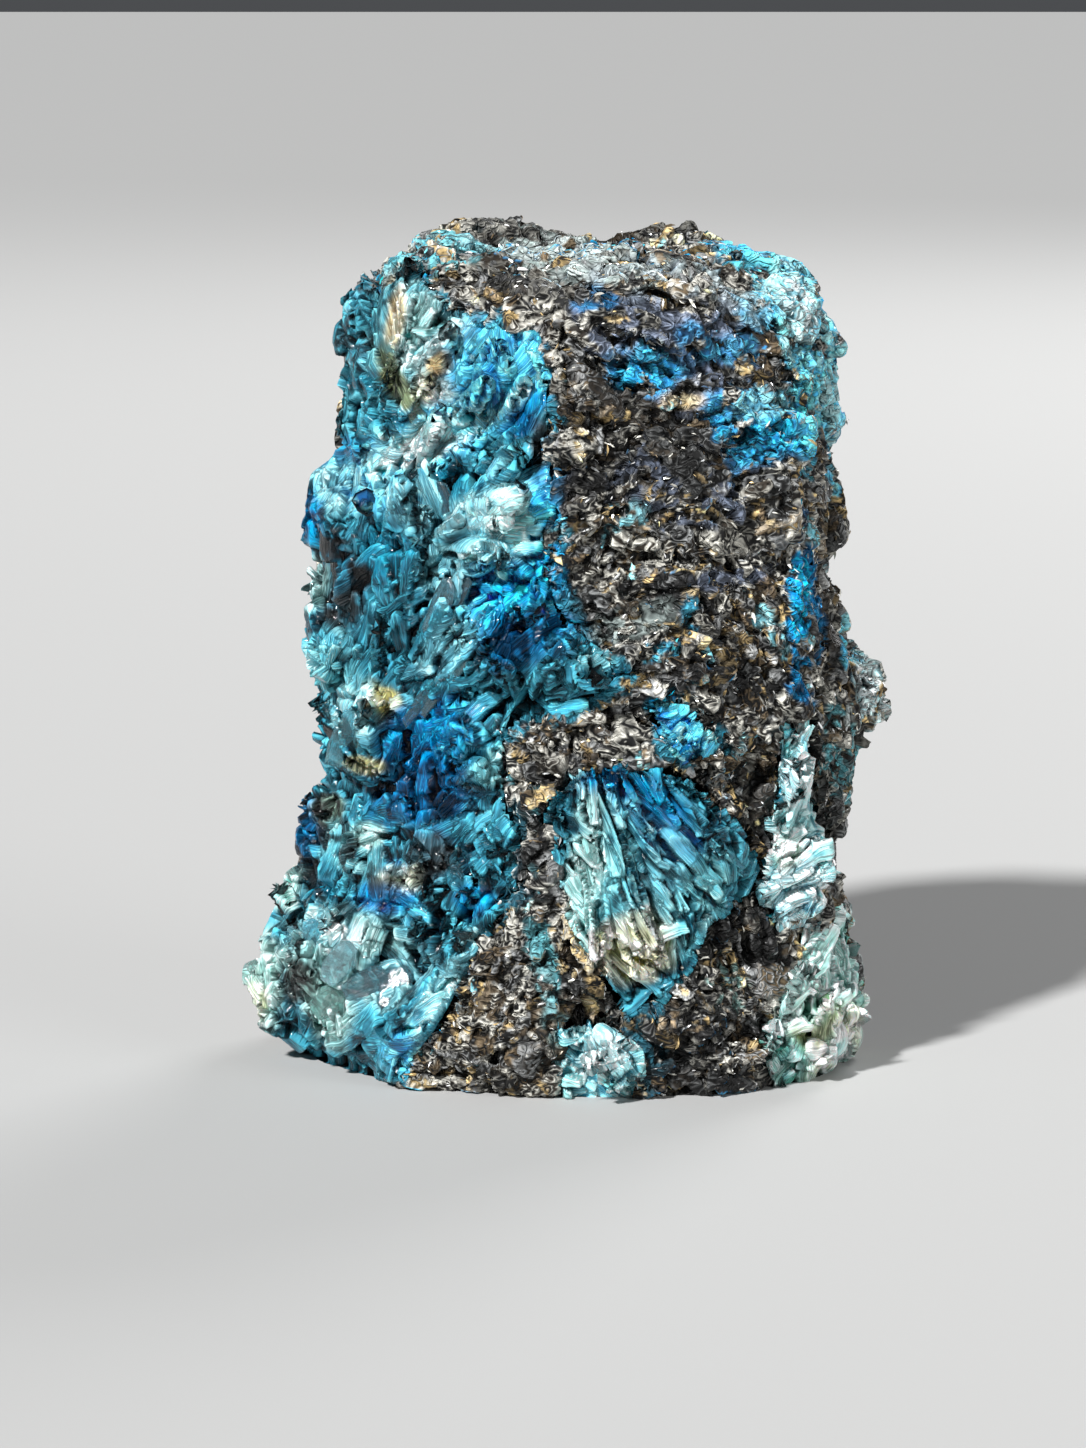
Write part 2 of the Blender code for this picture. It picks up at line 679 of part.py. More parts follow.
def build():
    clear_scene()
    parts = new_collection("blue_selenite")
    helpers = new_collection("cutters")
    block = make_block(helpers)
    surface = BVHTree.FromObject(block, bpy.context.evaluated_depsgraph_get())
    masses = [crystal_mass(*mass, block, surface, parts, helpers) for mass in MASSES]

    rooms = bpy.data.collections.new("cut_pockets")
    helpers.children.link(rooms)
    for name, pixels, _, _ in MASSES:
        pocket(f"{name}_cut", grown(pocket_outline(pixels), GAP), rooms)
    rock = add_object("matrix_rock", block.data.copy(), parts)
    cut = rock.modifiers.new("pockets", "BOOLEAN")
    cut.operation = "DIFFERENCE"
    cut.operand_type = "COLLECTION"
    cut.collection = rooms
    stand = rock.modifiers.new("flat_base", "BOOLEAN")
    stand.operation = "DIFFERENCE"
    stand.object = ground(helpers)
    settle(rock)
    keep_largest_body(rock)

    pieces = [rock, *masses]
    for piece in pieces:
        finish(piece)
    centre_on_origin(pieces)


build()
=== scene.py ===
"""Blue selenite hand specimen: a dark glittering rock grown through with masses of blue bladed crystal.

Lengths are in millimetres until a mesh is made. Places on the front are given in pixels of the photo,
which is 1086 wide and 1448 high, because that is where they were seen.
"""
import itertools
import math
from collections import namedtuple

import bpy
import numpy as np
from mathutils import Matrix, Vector
from mathutils.bvhtree import BVHTree
from mathutils.kdtree import KDTree


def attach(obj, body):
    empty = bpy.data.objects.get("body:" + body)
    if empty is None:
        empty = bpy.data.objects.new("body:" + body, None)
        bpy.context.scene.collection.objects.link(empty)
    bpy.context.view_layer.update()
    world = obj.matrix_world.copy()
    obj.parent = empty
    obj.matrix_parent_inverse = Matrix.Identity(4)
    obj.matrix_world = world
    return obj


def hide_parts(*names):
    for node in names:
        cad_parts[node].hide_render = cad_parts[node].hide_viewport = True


MM = 0.001
SEED = 7
HALF_HEIGHT = 38.0

# The view of the photo
VIEW_DISTANCE = 440.0
VIEW_TILT = math.radians(9)
VIEW_AIM = np.array((-2.035, 1.692, 32.5))
MM_PER_PIXEL = 0.0968
PHOTO_MIDDLE = (543, 724)
VIEW_RIGHT = np.array((1.0, 0.0, 0.0))
VIEW_UP = np.array((0.0, math.sin(VIEW_TILT), math.cos(VIEW_TILT)))
VIEW_AHEAD = np.array((0.0, math.cos(VIEW_TILT), -math.sin(VIEW_TILT)))
VIEW_FROM = VIEW_AIM - VIEW_AHEAD * VIEW_DISTANCE

# Colours of the crystal
DEEP_BLUE = (0.0, 0.055, 0.16)
BLUE = (0.0, 0.14, 0.37)
AZURE = (0.004, 0.28, 0.66)
SKY = (0.07, 0.54, 0.90)
ICE = (0.27, 0.80, 0.95)
WHITE = (0.55, 0.90, 0.97)
DARK_TEAL = (0.001, 0.07, 0.12)
TEAL = (0.020, 0.15, 0.22)
PALE_TEAL = (0.12, 0.47, 0.55)
MINT = (0.36, 0.68, 0.62)
CREAM = (0.82, 0.84, 0.56)
YELLOW = (0.66, 0.60, 0.20)
OLIVE = (0.09, 0.10, 0.035)
GREY_CLEAR = (0.10, 0.33, 0.41)

# Colours of the rock
ROCK = (0.008, 0.008, 0.008)
BROWN = (0.022, 0.018, 0.014)
BRONZE = (0.21, 0.155, 0.095)
GOLD = (0.72, 0.52, 0.24)
SILVER = (0.36, 0.37, 0.37)
CHALK = (0.86, 0.84, 0.75)
# A painted sheen: the violet cast on parts of the rock
VIOLET_SHEEN = (0.14, 0.17, 0.24)
GREY_GREEN = (0.34, 0.42, 0.40)

# How often the flakes of the rock have each colour, and the thin lines and slivers on them
FLAKE_COLOURS = (ROCK, BROWN, BRONZE, SILVER, GOLD, ICE)
FLAKE_SHARES = (0.68, 0.20, 0.04, 0.03, 0.04, 0.01)
CURL_COLOURS = (CHALK, SILVER, BRONZE, GOLD)
CURL_SHARES = (0.46, 0.34, 0.12, 0.08)

# Tints of the crystal on the front: x, y, half width, half height, tilt, colour, strength
CRYSTAL_TINTS = (
    (375, 345, 55, 95, -15, PALE_TEAL, 0.4),
    (430, 250, 60, 20, 0, PALE_TEAL, 0.9),
    (420, 330, 34, 50, 0, MINT, 0.6),
    (350, 330, 26, 80, -10, TEAL, 0.8),
    (372, 382, 26, 13, 0, DARK_TEAL, 0.8),
    (442, 350, 34, 26, 20, WHITE, 0.6),
    (436, 395, 30, 20, -50, CREAM, 0.95),
    (398, 385, 12, 52, 30, OLIVE, 0.9),
    (396, 312, 11, 28, -10, GOLD, 0.9),
    (441, 362, 24, 17, 20, BROWN, 0.95),
    (440, 364, 15, 10, 20, GOLD, 0.95),
    (556, 330, 13, 46, 0, BROWN, 0.9),
    (541, 440, 15, 32, 0, BROWN, 0.9),
    (500, 375, 58, 50, 50, SKY, 0.8),
    (530, 395, 30, 20, 50, AZURE, 0.9),
    (490, 350, 40, 16, 45, SKY, 0.85),
    (527, 365, 22, 36, 60, SKY, 0.9),
    (515, 400, 10, 30, -40, ICE, 0.8),
    (519, 423, 22, 17, 20, DEEP_BLUE, 0.9),
    (425, 440, 74, 30, 25, SKY, 0.95),
    (410, 448, 56, 20, 20, ICE, 0.95),
    (425, 446, 50, 14, 22, WHITE, 0.7),
    (470, 420, 26, 14, 30, ICE, 0.7),
    (378, 415, 34, 12, -10, DARK_TEAL, 0.7),
    (350, 485, 48, 28, 0, ICE, 0.45),
    (335, 450, 40, 16, 0, BLUE, 0.6),
    (370, 500, 20, 14, 0, SKY, 0.7),
    (310, 520, 12, 36, 0, BLUE, 0.95),
    (418, 505, 32, 32, 0, GREY_CLEAR, 0.85),
    (508, 525, 62, 40, 8, ICE, 1.0),
    (485, 512, 40, 18, 14, WHITE, 0.25),
    (545, 510, 18, 24, 12, SKY, 0.9),
    (510, 592, 50, 34, 10, AZURE, 0.95),
    (492, 575, 16, 12, 0, SKY, 0.7),
    (548, 556, 24, 24, 0, AZURE, 0.9),
    (550, 500, 22, 30, 0, AZURE, 0.8),
    (508, 387, 10, 8, 0, DARK_TEAL, 0.9),
    (452, 478, 16, 20, -20, DARK_TEAL, 0.9),
    (485, 548, 24, 12, 0, ICE, 0.9),
    (525, 645, 50, 30, 20, DEEP_BLUE, 0.8),
    (448, 580, 26, 32, 60, GREY_CLEAR, 0.9),
    (446, 652, 36, 24, 50, GREY_CLEAR, 0.8),
    (385, 558, 32, 40, 0, DARK_TEAL, 0.8),
    (340, 590, 20, 60, 0, BROWN, 0.85),
    (322, 560, 30, 40, 0, DARK_TEAL, 0.7),
    (308, 582, 17, 30, 0, MINT, 0.5),
    (328, 665, 30, 34, 0, PALE_TEAL, 0.6),
    (392, 622, 42, 38, 30, TEAL, 0.9),
    (378, 703, 28, 22, 20, OLIVE, 0.85),
    (384, 700, 18, 12, 20, YELLOW, 0.8),
    (425, 735, 56, 34, 30, BLUE, 0.9),
    (568, 662, 62, 26, 18, TEAL, 0.9),
    (600, 660, 20, 12, 10, PALE_TEAL, 0.8),
    (430, 785, 64, 50, 20, DEEP_BLUE, 0.95),
    (520, 640, 50, 30, 10, DEEP_BLUE, 0.6),
    (455, 745, 22, 12, 40, AZURE, 0.7),
    (352, 712, 24, 34, 20, ICE, 0.7),
    (365, 765, 22, 9, -10, YELLOW, 0.7),
    (500, 768, 40, 20, 20, PALE_TEAL, 0.85),
    (300, 825, 26, 36, 0, DEEP_BLUE, 0.9),
    (328, 810, 18, 18, 0, OLIVE, 0.7),
    (426, 855, 28, 28, 0, BROWN, 0.75),
    (396, 867, 13, 9, 0, SKY, 0.9),
    (350, 850, 30, 26, 0, PALE_TEAL, 0.7),
    (400, 880, 24, 16, 20, CREAM, 0.5),
    (370, 835, 16, 12, 0, MINT, 0.7),
    (385, 900, 30, 16, 0, BLUE, 0.9),
    (480, 900, 24, 16, 0, BLUE, 0.9),
    (320, 888, 16, 16, 0, DARK_TEAL, 0.9),
    (287, 885, 17, 24, 0, MINT, 0.9),
    (350, 960, 70, 50, 0, MINT, 0.6),
    (344, 937, 20, 17, 0, WHITE, 0.9),
    (318, 925, 18, 20, 0, ICE, 0.8),
    (262, 980, 24, 46, 0, MINT, 0.95),
    (256, 1000, 12, 22, 0, CREAM, 0.7),
    (294, 984, 20, 22, 0, BROWN, 0.9),
    (335, 1010, 24, 34, 0, MINT, 0.8),
    (388, 975, 34, 28, 0, GREY_CLEAR, 0.85),
    (429, 1005, 84, 13, 54, ICE, 0.95),
    (400, 1050, 24, 24, 30, SKY, 0.7),
    (457, 1050, 24, 14, 0, MINT, 0.9),
    (465, 1078, 22, 12, 0, GREY_CLEAR, 0.9),
)

# Where the vein is broken up and dark rock shows between its crystals, in the same terms
BROKEN_ZONES = (
    (360, 270, 70, 50, 0, ROCK, 0.9),
    (340, 350, 34, 80, -10, ROCK, 0.9),
    (440, 340, 50, 40, 0, ROCK, 0.4),
    (340, 430, 34, 16, 0, ROCK, 0.6),
    (325, 570, 44, 90, 0, ROCK, 0.95),
    (310, 830, 44, 70, 0, ROCK, 0.95),
    (400, 860, 70, 40, 0, ROCK, 0.8),
    (270, 960, 40, 60, 0, ROCK, 0.6),
    (300, 990, 24, 40, 0, ROCK, 0.8),
    (450, 970, 20, 50, 50, ROCK, 0.6),
    (500, 770, 50, 30, 20, ROCK, 0.6),
    (590, 660, 60, 26, 10, ROCK, 0.5),
    (550, 290, 22, 50, 0, ROCK, 0.85),
    (550, 440, 24, 50, 0, ROCK, 0.85),
)
FAN_TINTS = (
    (610, 785, 74, 38, -20, DARK_TEAL, 0.9),
    (600, 775, 30, 18, 0, BLUE, 0.8),
    (660, 820, 60, 30, -50, BLUE, 0.8),
    (600, 900, 50, 90, -12, PALE_TEAL, 0.8),
    (580, 890, 22, 85, -12, MINT, 0.7),
    (665, 880, 36, 60, -35, GREY_CLEAR, 0.7),
    (625, 935, 30, 14, 10, WHITE, 0.8),
    (700, 900, 24, 70, -30, PALE_TEAL, 0.7),
    (628, 952, 44, 32, 15, CREAM, 0.95),
    (632, 966, 26, 9, 15, YELLOW, 0.5),
    (640, 998, 34, 14, 0, TEAL, 0.9),
    (560, 770, 28, 16, 0, ICE, 0.7),
)
SMALL_TINTS = (
    (795, 880, 34, 50, 20, WHITE, 0.9),
    (785, 850, 20, 20, 20, CREAM, 0.5),
    (812, 905, 10, 20, 20, SKY, 0.5),
    (800, 770, 20, 40, 0, WHITE, 0.8),
    (790, 820, 20, 20, 0, MINT, 0.6),
    (682, 727, 40, 40, 0, SKY, 0.95),
    (595, 1055, 46, 40, 0, ICE, 0.9),
    (600, 1050, 26, 20, 0, WHITE, 0.7),
    (575, 1040, 14, 14, 0, PALE_TEAL, 0.7),
    (830, 1030, 40, 46, 0, CREAM, 0.8),
    (840, 975, 16, 30, 0, MINT, 0.9),
    (800, 1000, 22, 26, 0, MINT, 0.8),
    (840, 1050, 16, 16, 0, WHITE, 0.6),
)

# Stains and crusts of the rock on the front, with patches of painted violet sheen, in the same terms
ROCK_TINTS = (
    (600, 262, 120, 24, -16, GREY_GREEN, 0.75),
    (740, 300, 50, 20, -30, GREY_GREEN, 0.6),
    (560, 255, 60, 16, -10, GREY_GREEN, 0.5),
    (690, 345, 95, 60, -20, VIOLET_SHEEN, 0.7),
    (700, 480, 90, 40, 0, VIOLET_SHEEN, 0.4),
    (765, 262, 60, 24, -30, SKY, 0.8),
    (800, 320, 42, 70, 25, SKY, 0.95),
    (805, 320, 34, 66, 25, ICE, 0.8),
    (815, 340, 16, 60, 20, WHITE, 0.5),
    (825, 400, 30, 66, 5, SKY, 0.95),
    (835, 410, 16, 50, 5, ICE, 0.8),
    (752, 420, 44, 44, 20, AZURE, 0.75),
    (765, 400, 24, 20, 20, ICE, 0.5),
    (745, 350, 34, 20, 0, AZURE, 0.6),
    (655, 368, 46, 24, 10, AZURE, 0.8),
    (600, 300, 22, 14, 0, BLUE, 0.6),
    (690, 335, 24, 16, 0, BLUE, 0.7),
    (625, 520, 20, 16, 30, ICE, 0.5),
    (655, 655, 22, 10, 10, SKY, 0.5),
    (745, 745, 14, 16, 30, ICE, 0.7),
    (780, 640, 10, 20, 20, ICE, 0.7),
    (805, 625, 17, 84, 0, BLUE, 0.8),
    (800, 600, 9, 50, 0, AZURE, 0.8),
    (762, 618, 15, 15, 0, ICE, 0.8),
    (692, 612, 10, 18, 0, SKY, 0.8),
    (730, 575, 40, 12, 10, VIOLET_SHEEN, 0.6),
    (392, 312, 12, 34, 0, GOLD, 0.8),
    (440, 362, 12, 10, 0, GOLD, 0.9),
    (585, 450, 12, 12, 40, GOLD, 0.7),
    (683, 400, 18, 9, 0, GOLD, 0.6),
    (868, 680, 14, 60, 15, WHITE, 0.9),
    (848, 645, 14, 30, 0, SKY, 0.8),
    (840, 760, 18, 60, 0, PALE_TEAL, 0.5),
    (610, 680, 34, 22, 20, TEAL, 0.7),
    (640, 620, 40, 20, 20, GREY_GREEN, 0.4),
    (560, 800, 30, 16, 0, PALE_TEAL, 0.6),
    (650, 1010, 24, 60, 0, TEAL, 0.6),
    (545, 960, 16, 60, 10, PALE_TEAL, 0.6),
    (730, 990, 18, 26, 20, MINT, 0.4),
    (500, 1010, 70, 60, 0, BRONZE, 0.25),
    (520, 870, 34, 66, 10, ROCK, 0.7),
    (745, 935, 50, 36, 0, ROCK, 0.6),
    (700, 1040, 90, 46, 0, ROCK, 0.45),
    (600, 480, 40, 30, 0, ROCK, 0.4),
    (660, 600, 90, 34, 0, ROCK, 0.5),
    (720, 690, 60, 26, 0, ROCK, 0.5),
    (360, 300, 30, 60, 0, TEAL, 0.6),
    (430, 250, 60, 22, 0, PALE_TEAL, 0.7),
)

# Which way the grain runs on the front: x, y, angle from the horizontal, rising to the right
ROCK_GRAIN = (
    (480, 260, -15), (620, 300, -22), (740, 290, -32), (810, 380, -60), (560, 400, -25), (680, 420, 8),
    (600, 520, 25), (720, 520, -5), (800, 620, -80), (620, 620, 20), (700, 680, -5), (560, 740, 5),
    (760, 760, -60), (850, 700, -60), (760, 940, -70), (500, 850, 70), (500, 1010, 35), (620, 1010, -70),
    (700, 1050, 10), (820, 1050, 15), (850, 880, 80),
)
CRYSTAL_GRAIN = (
    (370, 300, 110), (360, 380, 110), (430, 350, 40), (440, 400, -55), (490, 370, 48), (530, 370, 50),
    (520, 425, 60), (420, 440, 35), (350, 480, 20), (315, 520, 90), (420, 505, 100), (500, 480, 25),
    (505, 530, 5), (505, 590, -70), (545, 600, 60), (448, 580, 60), (446, 652, 52), (385, 560, 95),
    (330, 590, 90), (330, 670, 60), (400, 620, 50), (520, 650, 40), (590, 660, 20), (380, 700, 30),
    (430, 735, 40), (430, 790, 60), (350, 715, 70), (500, 770, 35), (310, 830, 60), (360, 850, 20),
    (425, 855, 60), (385, 900, 10), (480, 900, 60), (330, 930, 35), (260, 980, 100), (300, 1000, 60),
    (390, 975, -20), (430, 1005, 56), (457, 1055, 20), (600, 790, -82), (585, 870, -78), (650, 830, -52),
    (640, 900, -62), (700, 870, -48), (630, 970, -58), (690, 950, -80), (795, 880, 38), (800, 780, 80),
    (682, 727, 35), (595, 1055, -18), (830, 1030, 75), (800, 980, 80),
)

# Crystals that grow in parts of the masses: x, y, half width, half height, tilt of the patch, shape,
# count, length, width, thickness, lean out of the surface, scatter of the direction
EVERYWHERE = (543, 724, 2000, 2000, 0)
ROCK_FLAKES = (
    (*EVERYWHERE, "blade", 3500, 4.0, 1.5, 0.15, 6, 24),
    (*EVERYWHERE, "blade", 5000, 2.4, 0.9, 0.25, 8, 30),
)
ROCK_CHIPS = (
    (*EVERYWHERE, "blade", 7000, 1.2, 0.5, 0.35, 10, 50),
)
VEIN_GROWTH = (
    (*EVERYWHERE, "blade", 900, 5.0, 1.5, 0.05, 6, 16),
    (*EVERYWHERE, "blade", 1500, 2.6, 0.9, 0.05, 8, 28),
    (*EVERYWHERE, "knob", 120, 1.2, 0.9, 0.15, 4, 60),
    (365, 330, 34, 100, -15, "knob", 110, 1.6, 1.2, 0.25, 8, 40),
    (345, 330, 24, 90, -15, "blade", 60, 3.6, 1.3, 0.20, 12, 24),
    (430, 340, 40, 34, 0, "blade", 50, 5.0, 1.2, 0.20, 7, 8),
    (500, 370, 64, 58, 45, "blade", 70, 7.0, 1.6, 0.30, 6, 6),
    (500, 370, 64, 58, 45, "blade", 60, 4.0, 1.0, 0.35, 6, 8),
    (455, 420, 60, 34, 25, "blade", 50, 5.0, 1.5, 0.25, 8, 16),
    (410, 450, 50, 24, 25, "blade", 60, 4.0, 1.3, 0.25, 9, 22),
    (345, 485, 44, 30, 0, "blade", 40, 3.4, 1.7, 0.25, 9, 40),
    (315, 520, 14, 40, 0, "blade", 20, 5.5, 1.8, 0.25, 5, 10),
    (418, 515, 34, 40, 0, "blade", 30, 5.0, 2.0, 0.20, 8, 20),
    (505, 508, 56, 28, 18, "blade", 34, 8.0, 1.7, 0.60, 6, 6),
    (493, 549, 28, 13, 0, "blade", 10, 3.2, 2.2, 0.50, 7, 10),
    (510, 592, 46, 40, 0, "knob", 110, 1.6, 1.2, 0.35, 8, 60),
    (325, 600, 26, 50, 0, "knob", 40, 2.4, 1.6, 0.45, 8, 30),
    (328, 668, 30, 36, 0, "knob", 12, 4.0, 2.8, 0.60, 5, 60),
    (445, 650, 48, 40, 50, "blade", 70, 8.0, 0.7, 0.35, 3, 3),
    (395, 640, 40, 50, 45, "blade", 50, 6.0, 1.3, 0.20, 7, 10),
    (525, 655, 44, 30, 0, "blade", 40, 4.0, 1.5, 0.20, 8, 24),
    (570, 665, 60, 24, 18, "blade", 60, 5.0, 1.1, 0.20, 6, 12),
    (420, 760, 70, 60, 20, "knob", 60, 1.8, 1.3, 0.30, 8, 50),
    (420, 760, 70, 60, 20, "blade", 80, 4.2, 1.5, 0.25, 12, 30),
    (495, 772, 40, 22, 20, "blade", 40, 4.5, 1.2, 0.20, 8, 16),
    (305, 830, 28, 50, 0, "knob", 40, 1.9, 1.4, 0.35, 8, 60),
    (380, 860, 90, 50, 0, "blade", 90, 4.0, 1.6, 0.25, 12, 50),
    (262, 980, 26, 60, 0, "knob", 34, 2.4, 1.8, 0.50, 6, 60),
    (340, 960, 70, 60, 0, "blade", 44, 5.0, 2.2, 0.35, 9, 45),
    (300, 1005, 26, 30, 0, "knob", 40, 1.5, 1.2, 0.35, 6, 60),
    (425, 1010, 84, 16, 54, "blade", 50, 5.0, 1.4, 0.35, 9, 12),
)
FAN_GROWTH = (
    (*EVERYWHERE, "blade", 700, 6.0, 0.8, 0.05, 1, 4),
    (*EVERYWHERE, "blade", 500, 3.4, 0.5, 0.10, 2, 6),
    (585, 880, 20, 100, -12, "blade", 50, 6.5, 1.3, 0.15, 1, 4),
    (635, 960, 50, 40, 0, "blade", 60, 3.6, 1.0, 0.12, 3, 8),
)
SEAM_GROWTH = (
    (*EVERYWHERE, "blade", 200, 3.2, 0.9, 0.10, 3, 14),
    (795, 885, 30, 50, 20, "blade", 70, 5.4, 1.0, 0.15, 3, 4),
)
CORNER_GROWTH = (
    (*EVERYWHERE, "knob", 160, 1.8, 1.4, 0.25, 4, 60),
    (*EVERYWHERE, "blade", 140, 2.6, 1.1, 0.10, 4, 40),
    (820, 995, 30, 50, 0, "blade", 60, 4.4, 1.0, 0.18, 3, 8),
    (840, 1040, 26, 40, 0, "knob", 35, 2.4, 1.9, 0.50, 4, 40),
)
LEAF_GROWTH = (
    (*EVERYWHERE, "blade", 170, 2.8, 1.3, 0.20, 8, 14),
)
WEDGE_GROWTH = (
    (*EVERYWHERE, "blade", 70, 3.4, 1.0, 0.20, 7, 12),
)

# Clear plates that stand free in the vein: x, y, way, lean, length, width, thickness, colour
CLEAR_PLATES = (
    (430, 516, 92, 10, 5.6, 2.6, 0.45, GREY_CLEAR),
    (412, 520, 84, 12, 4.6, 2.2, 0.40, PALE_TEAL),
    (447, 505, 104, 12, 4.8, 1.8, 0.40, TEAL),
    (440, 608, 62, 12, 6.6, 2.2, 0.45, GREY_CLEAR),
    (456, 600, 60, 14, 5.6, 1.6, 0.40, GREY_CLEAR),
    (436, 620, 50, 16, 3.8, 2.0, 0.45, ICE),
    (430, 690, 50, 8, 8.0, 1.3, 0.45, GREY_CLEAR),
    (444, 684, 52, 10, 7.6, 1.2, 0.40, GREY_CLEAR),
    (458, 672, 50, 12, 6.0, 1.1, 0.40, PALE_TEAL),
    (345, 735, 68, 10, 6.4, 2.8, 0.8, ICE),
    (362, 745, 84, 14, 4.6, 1.6, 0.6, MINT),
    (420, 420, 118, 10, 5.0, 1.8, 0.5, CREAM),
    (340, 962, 58, 16, 5.0, 2.8, 0.9, WHITE),
    (318, 935, 130, 14, 4.0, 2.4, 0.9, ICE),
    (368, 985, 24, 8, 5.0, 3.6, 0.9, GREY_CLEAR),
    (396, 990, 70, 8, 4.6, 3.2, 0.9, GREY_CLEAR),
    (330, 1000, 40, 12, 4.4, 2.8, 0.9, MINT),
)

Skin = namedtuple("Skin", "points quads normals")
Blades = namedtuple("Blades", "places normals axes sizes slopes rolls round")
Steps = namedtuple("Steps", "skin reach owner grain")


# Numbers and noise

def unit(vectors):
    return vectors / np.maximum(np.linalg.norm(vectors, axis=-1, keepdims=True), 1e-9)


def smooth_step(low, high, value):
    share = np.clip((value - low) / (high - low), 0, 1)
    return share * share * (3 - 2 * share)


def blended(first, second, share):
    """Colours between two sets of colours, one share for each point."""
    return first + share[:, None] * (np.asarray(second) - first)


def lightened(colours, power):
    """The same hues, lighter."""
    return 1 - (1 - np.clip(colours, 0, 1)) ** power


def hashed(cells, seed):
    """A fixed number from -1 to 1 for each whole-numbered cell of space."""
    mixed = (cells[:, 0] * 73856093) ^ (cells[:, 1] * 19349663) ^ (cells[:, 2] * 83492791)
    mixed = (mixed ^ (seed * 40503)) & 0xFFFFFFFF
    mixed = ((mixed ^ (mixed >> 15)) * 2246822519) & 0xFFFFFFFF
    mixed = ((mixed ^ (mixed >> 13)) * 3266489917) & 0xFFFFFFFF
    return (mixed ^ (mixed >> 16)) / 0x7FFFFFFF - 1


def noise(points, size, seed=0):
    """Smooth noise from -1 to 1, with lumps of the given size."""
    cells = points / size
    base = np.floor(cells).astype(np.int64)
    blend = cells - base
    blend = blend * blend * (3 - 2 * blend)
    total = np.zeros(len(points))
    for corner in itertools.product((0, 1), repeat=3):
        weight = np.prod(np.where(corner, blend, 1 - blend), axis=1)
        total += weight * hashed(base + corner, SEED + seed)
    return total


def ridges(points, size, seed=0):
    """Noise from 0 to 1 with sharp crests."""
    return 1 - np.abs(noise(points, size, seed))


# The photo's view

def to_photo(points):
    """Where points fall on the photo, in its pixels."""
    away = points - VIEW_AIM
    zoom = VIEW_DISTANCE / (VIEW_DISTANCE + away @ VIEW_AHEAD) / MM_PER_PIXEL
    return PHOTO_MIDDLE[0] + (away @ VIEW_RIGHT) * zoom, PHOTO_MIDDLE[1] - (away @ VIEW_UP) * zoom


def sight_line(px, py):
    """The direction from the camera through a pixel of the photo."""
    across = (px - PHOTO_MIDDLE[0]) * MM_PER_PIXEL
    rise = (PHOTO_MIDDLE[1] - py) * MM_PER_PIXEL
    return unit(VIEW_AHEAD * VIEW_DISTANCE + VIEW_RIGHT * across + VIEW_UP * rise)


def facing_view(points, normals):
    """How squarely a surface faces the camera, from -1 to 1."""
    return -np.sum(normals * unit(points - VIEW_FROM), axis=1)


def on_photo_plane(angles):
    """Directions in the plane of the photo, from angles in degrees."""
    turn = np.radians(angles)
    return np.cos(turn)[:, None] * VIEW_RIGHT + np.sin(turn)[:, None] * VIEW_UP


def grain_angles(points, grain):
    """The angle of the grain at each point, blended from the places where it was read."""
    px, py = to_photo(points)
    total = np.zeros((len(points), 2))
    for x, y, angle in grain:
        pull = 1 / ((px - x) ** 2 + (py - y) ** 2 + 120) ** 1.5
        total[:, 0] += pull * math.cos(math.radians(angle))
        total[:, 1] += pull * math.sin(math.radians(angle))
    return np.degrees(np.arctan2(total[:, 1], total[:, 0]))


def streaks(points, grain, length, width, seed):
    """Noise from -1 to 1 that is drawn out along the grain."""
    angles = grain_angles(points, grain)
    total = np.zeros(len(points))
    weights = np.zeros(len(points))
    for turn in range(0, 180, 20):
        along = on_photo_plane(np.array([turn]))[0]
        over = on_photo_plane(np.array([turn + 90]))[0]
        weight = np.abs(np.cos(np.radians(angles - turn))) ** 40
        drawn = np.stack((points @ along / length, points @ over / width, points @ VIEW_AHEAD / (2 * width)), axis=1)
        total += weight * noise(drawn, 1.0, seed + turn)
        weights += weight
    return total / weights


def inside_oval(points, x, y, half_width, half_height, tilt):
    """How far points are from the middle of an oval on the photo, as a share of its size."""
    px, py = to_photo(points)
    turn = math.radians(tilt)
    along = ((px - x) * math.cos(turn) - (py - y) * math.sin(turn)) / half_width
    over = ((px - x) * math.sin(turn) + (py - y) * math.cos(turn)) / half_height
    return np.hypot(along, over)


def painted(points, ground, tints, ragged=0.3):
    """Colours from a list of oval tints with ragged edges, and how much they cover the ground."""
    edge = ragged * (noise(points, 3.2, 1) + 0.7 * noise(points, 1.3, 2))
    colours = np.tile(np.array(ground), (len(points), 1))
    cover = np.zeros(len(points))
    for *oval, colour, strength in tints:
        share = strength * (1 - smooth_step(0.6, 1.3, inside_oval(points, *oval) + edge))
        colours = blended(colours, colour, share)
        cover += share * (1 - cover)
    return colours, cover


# Meshes

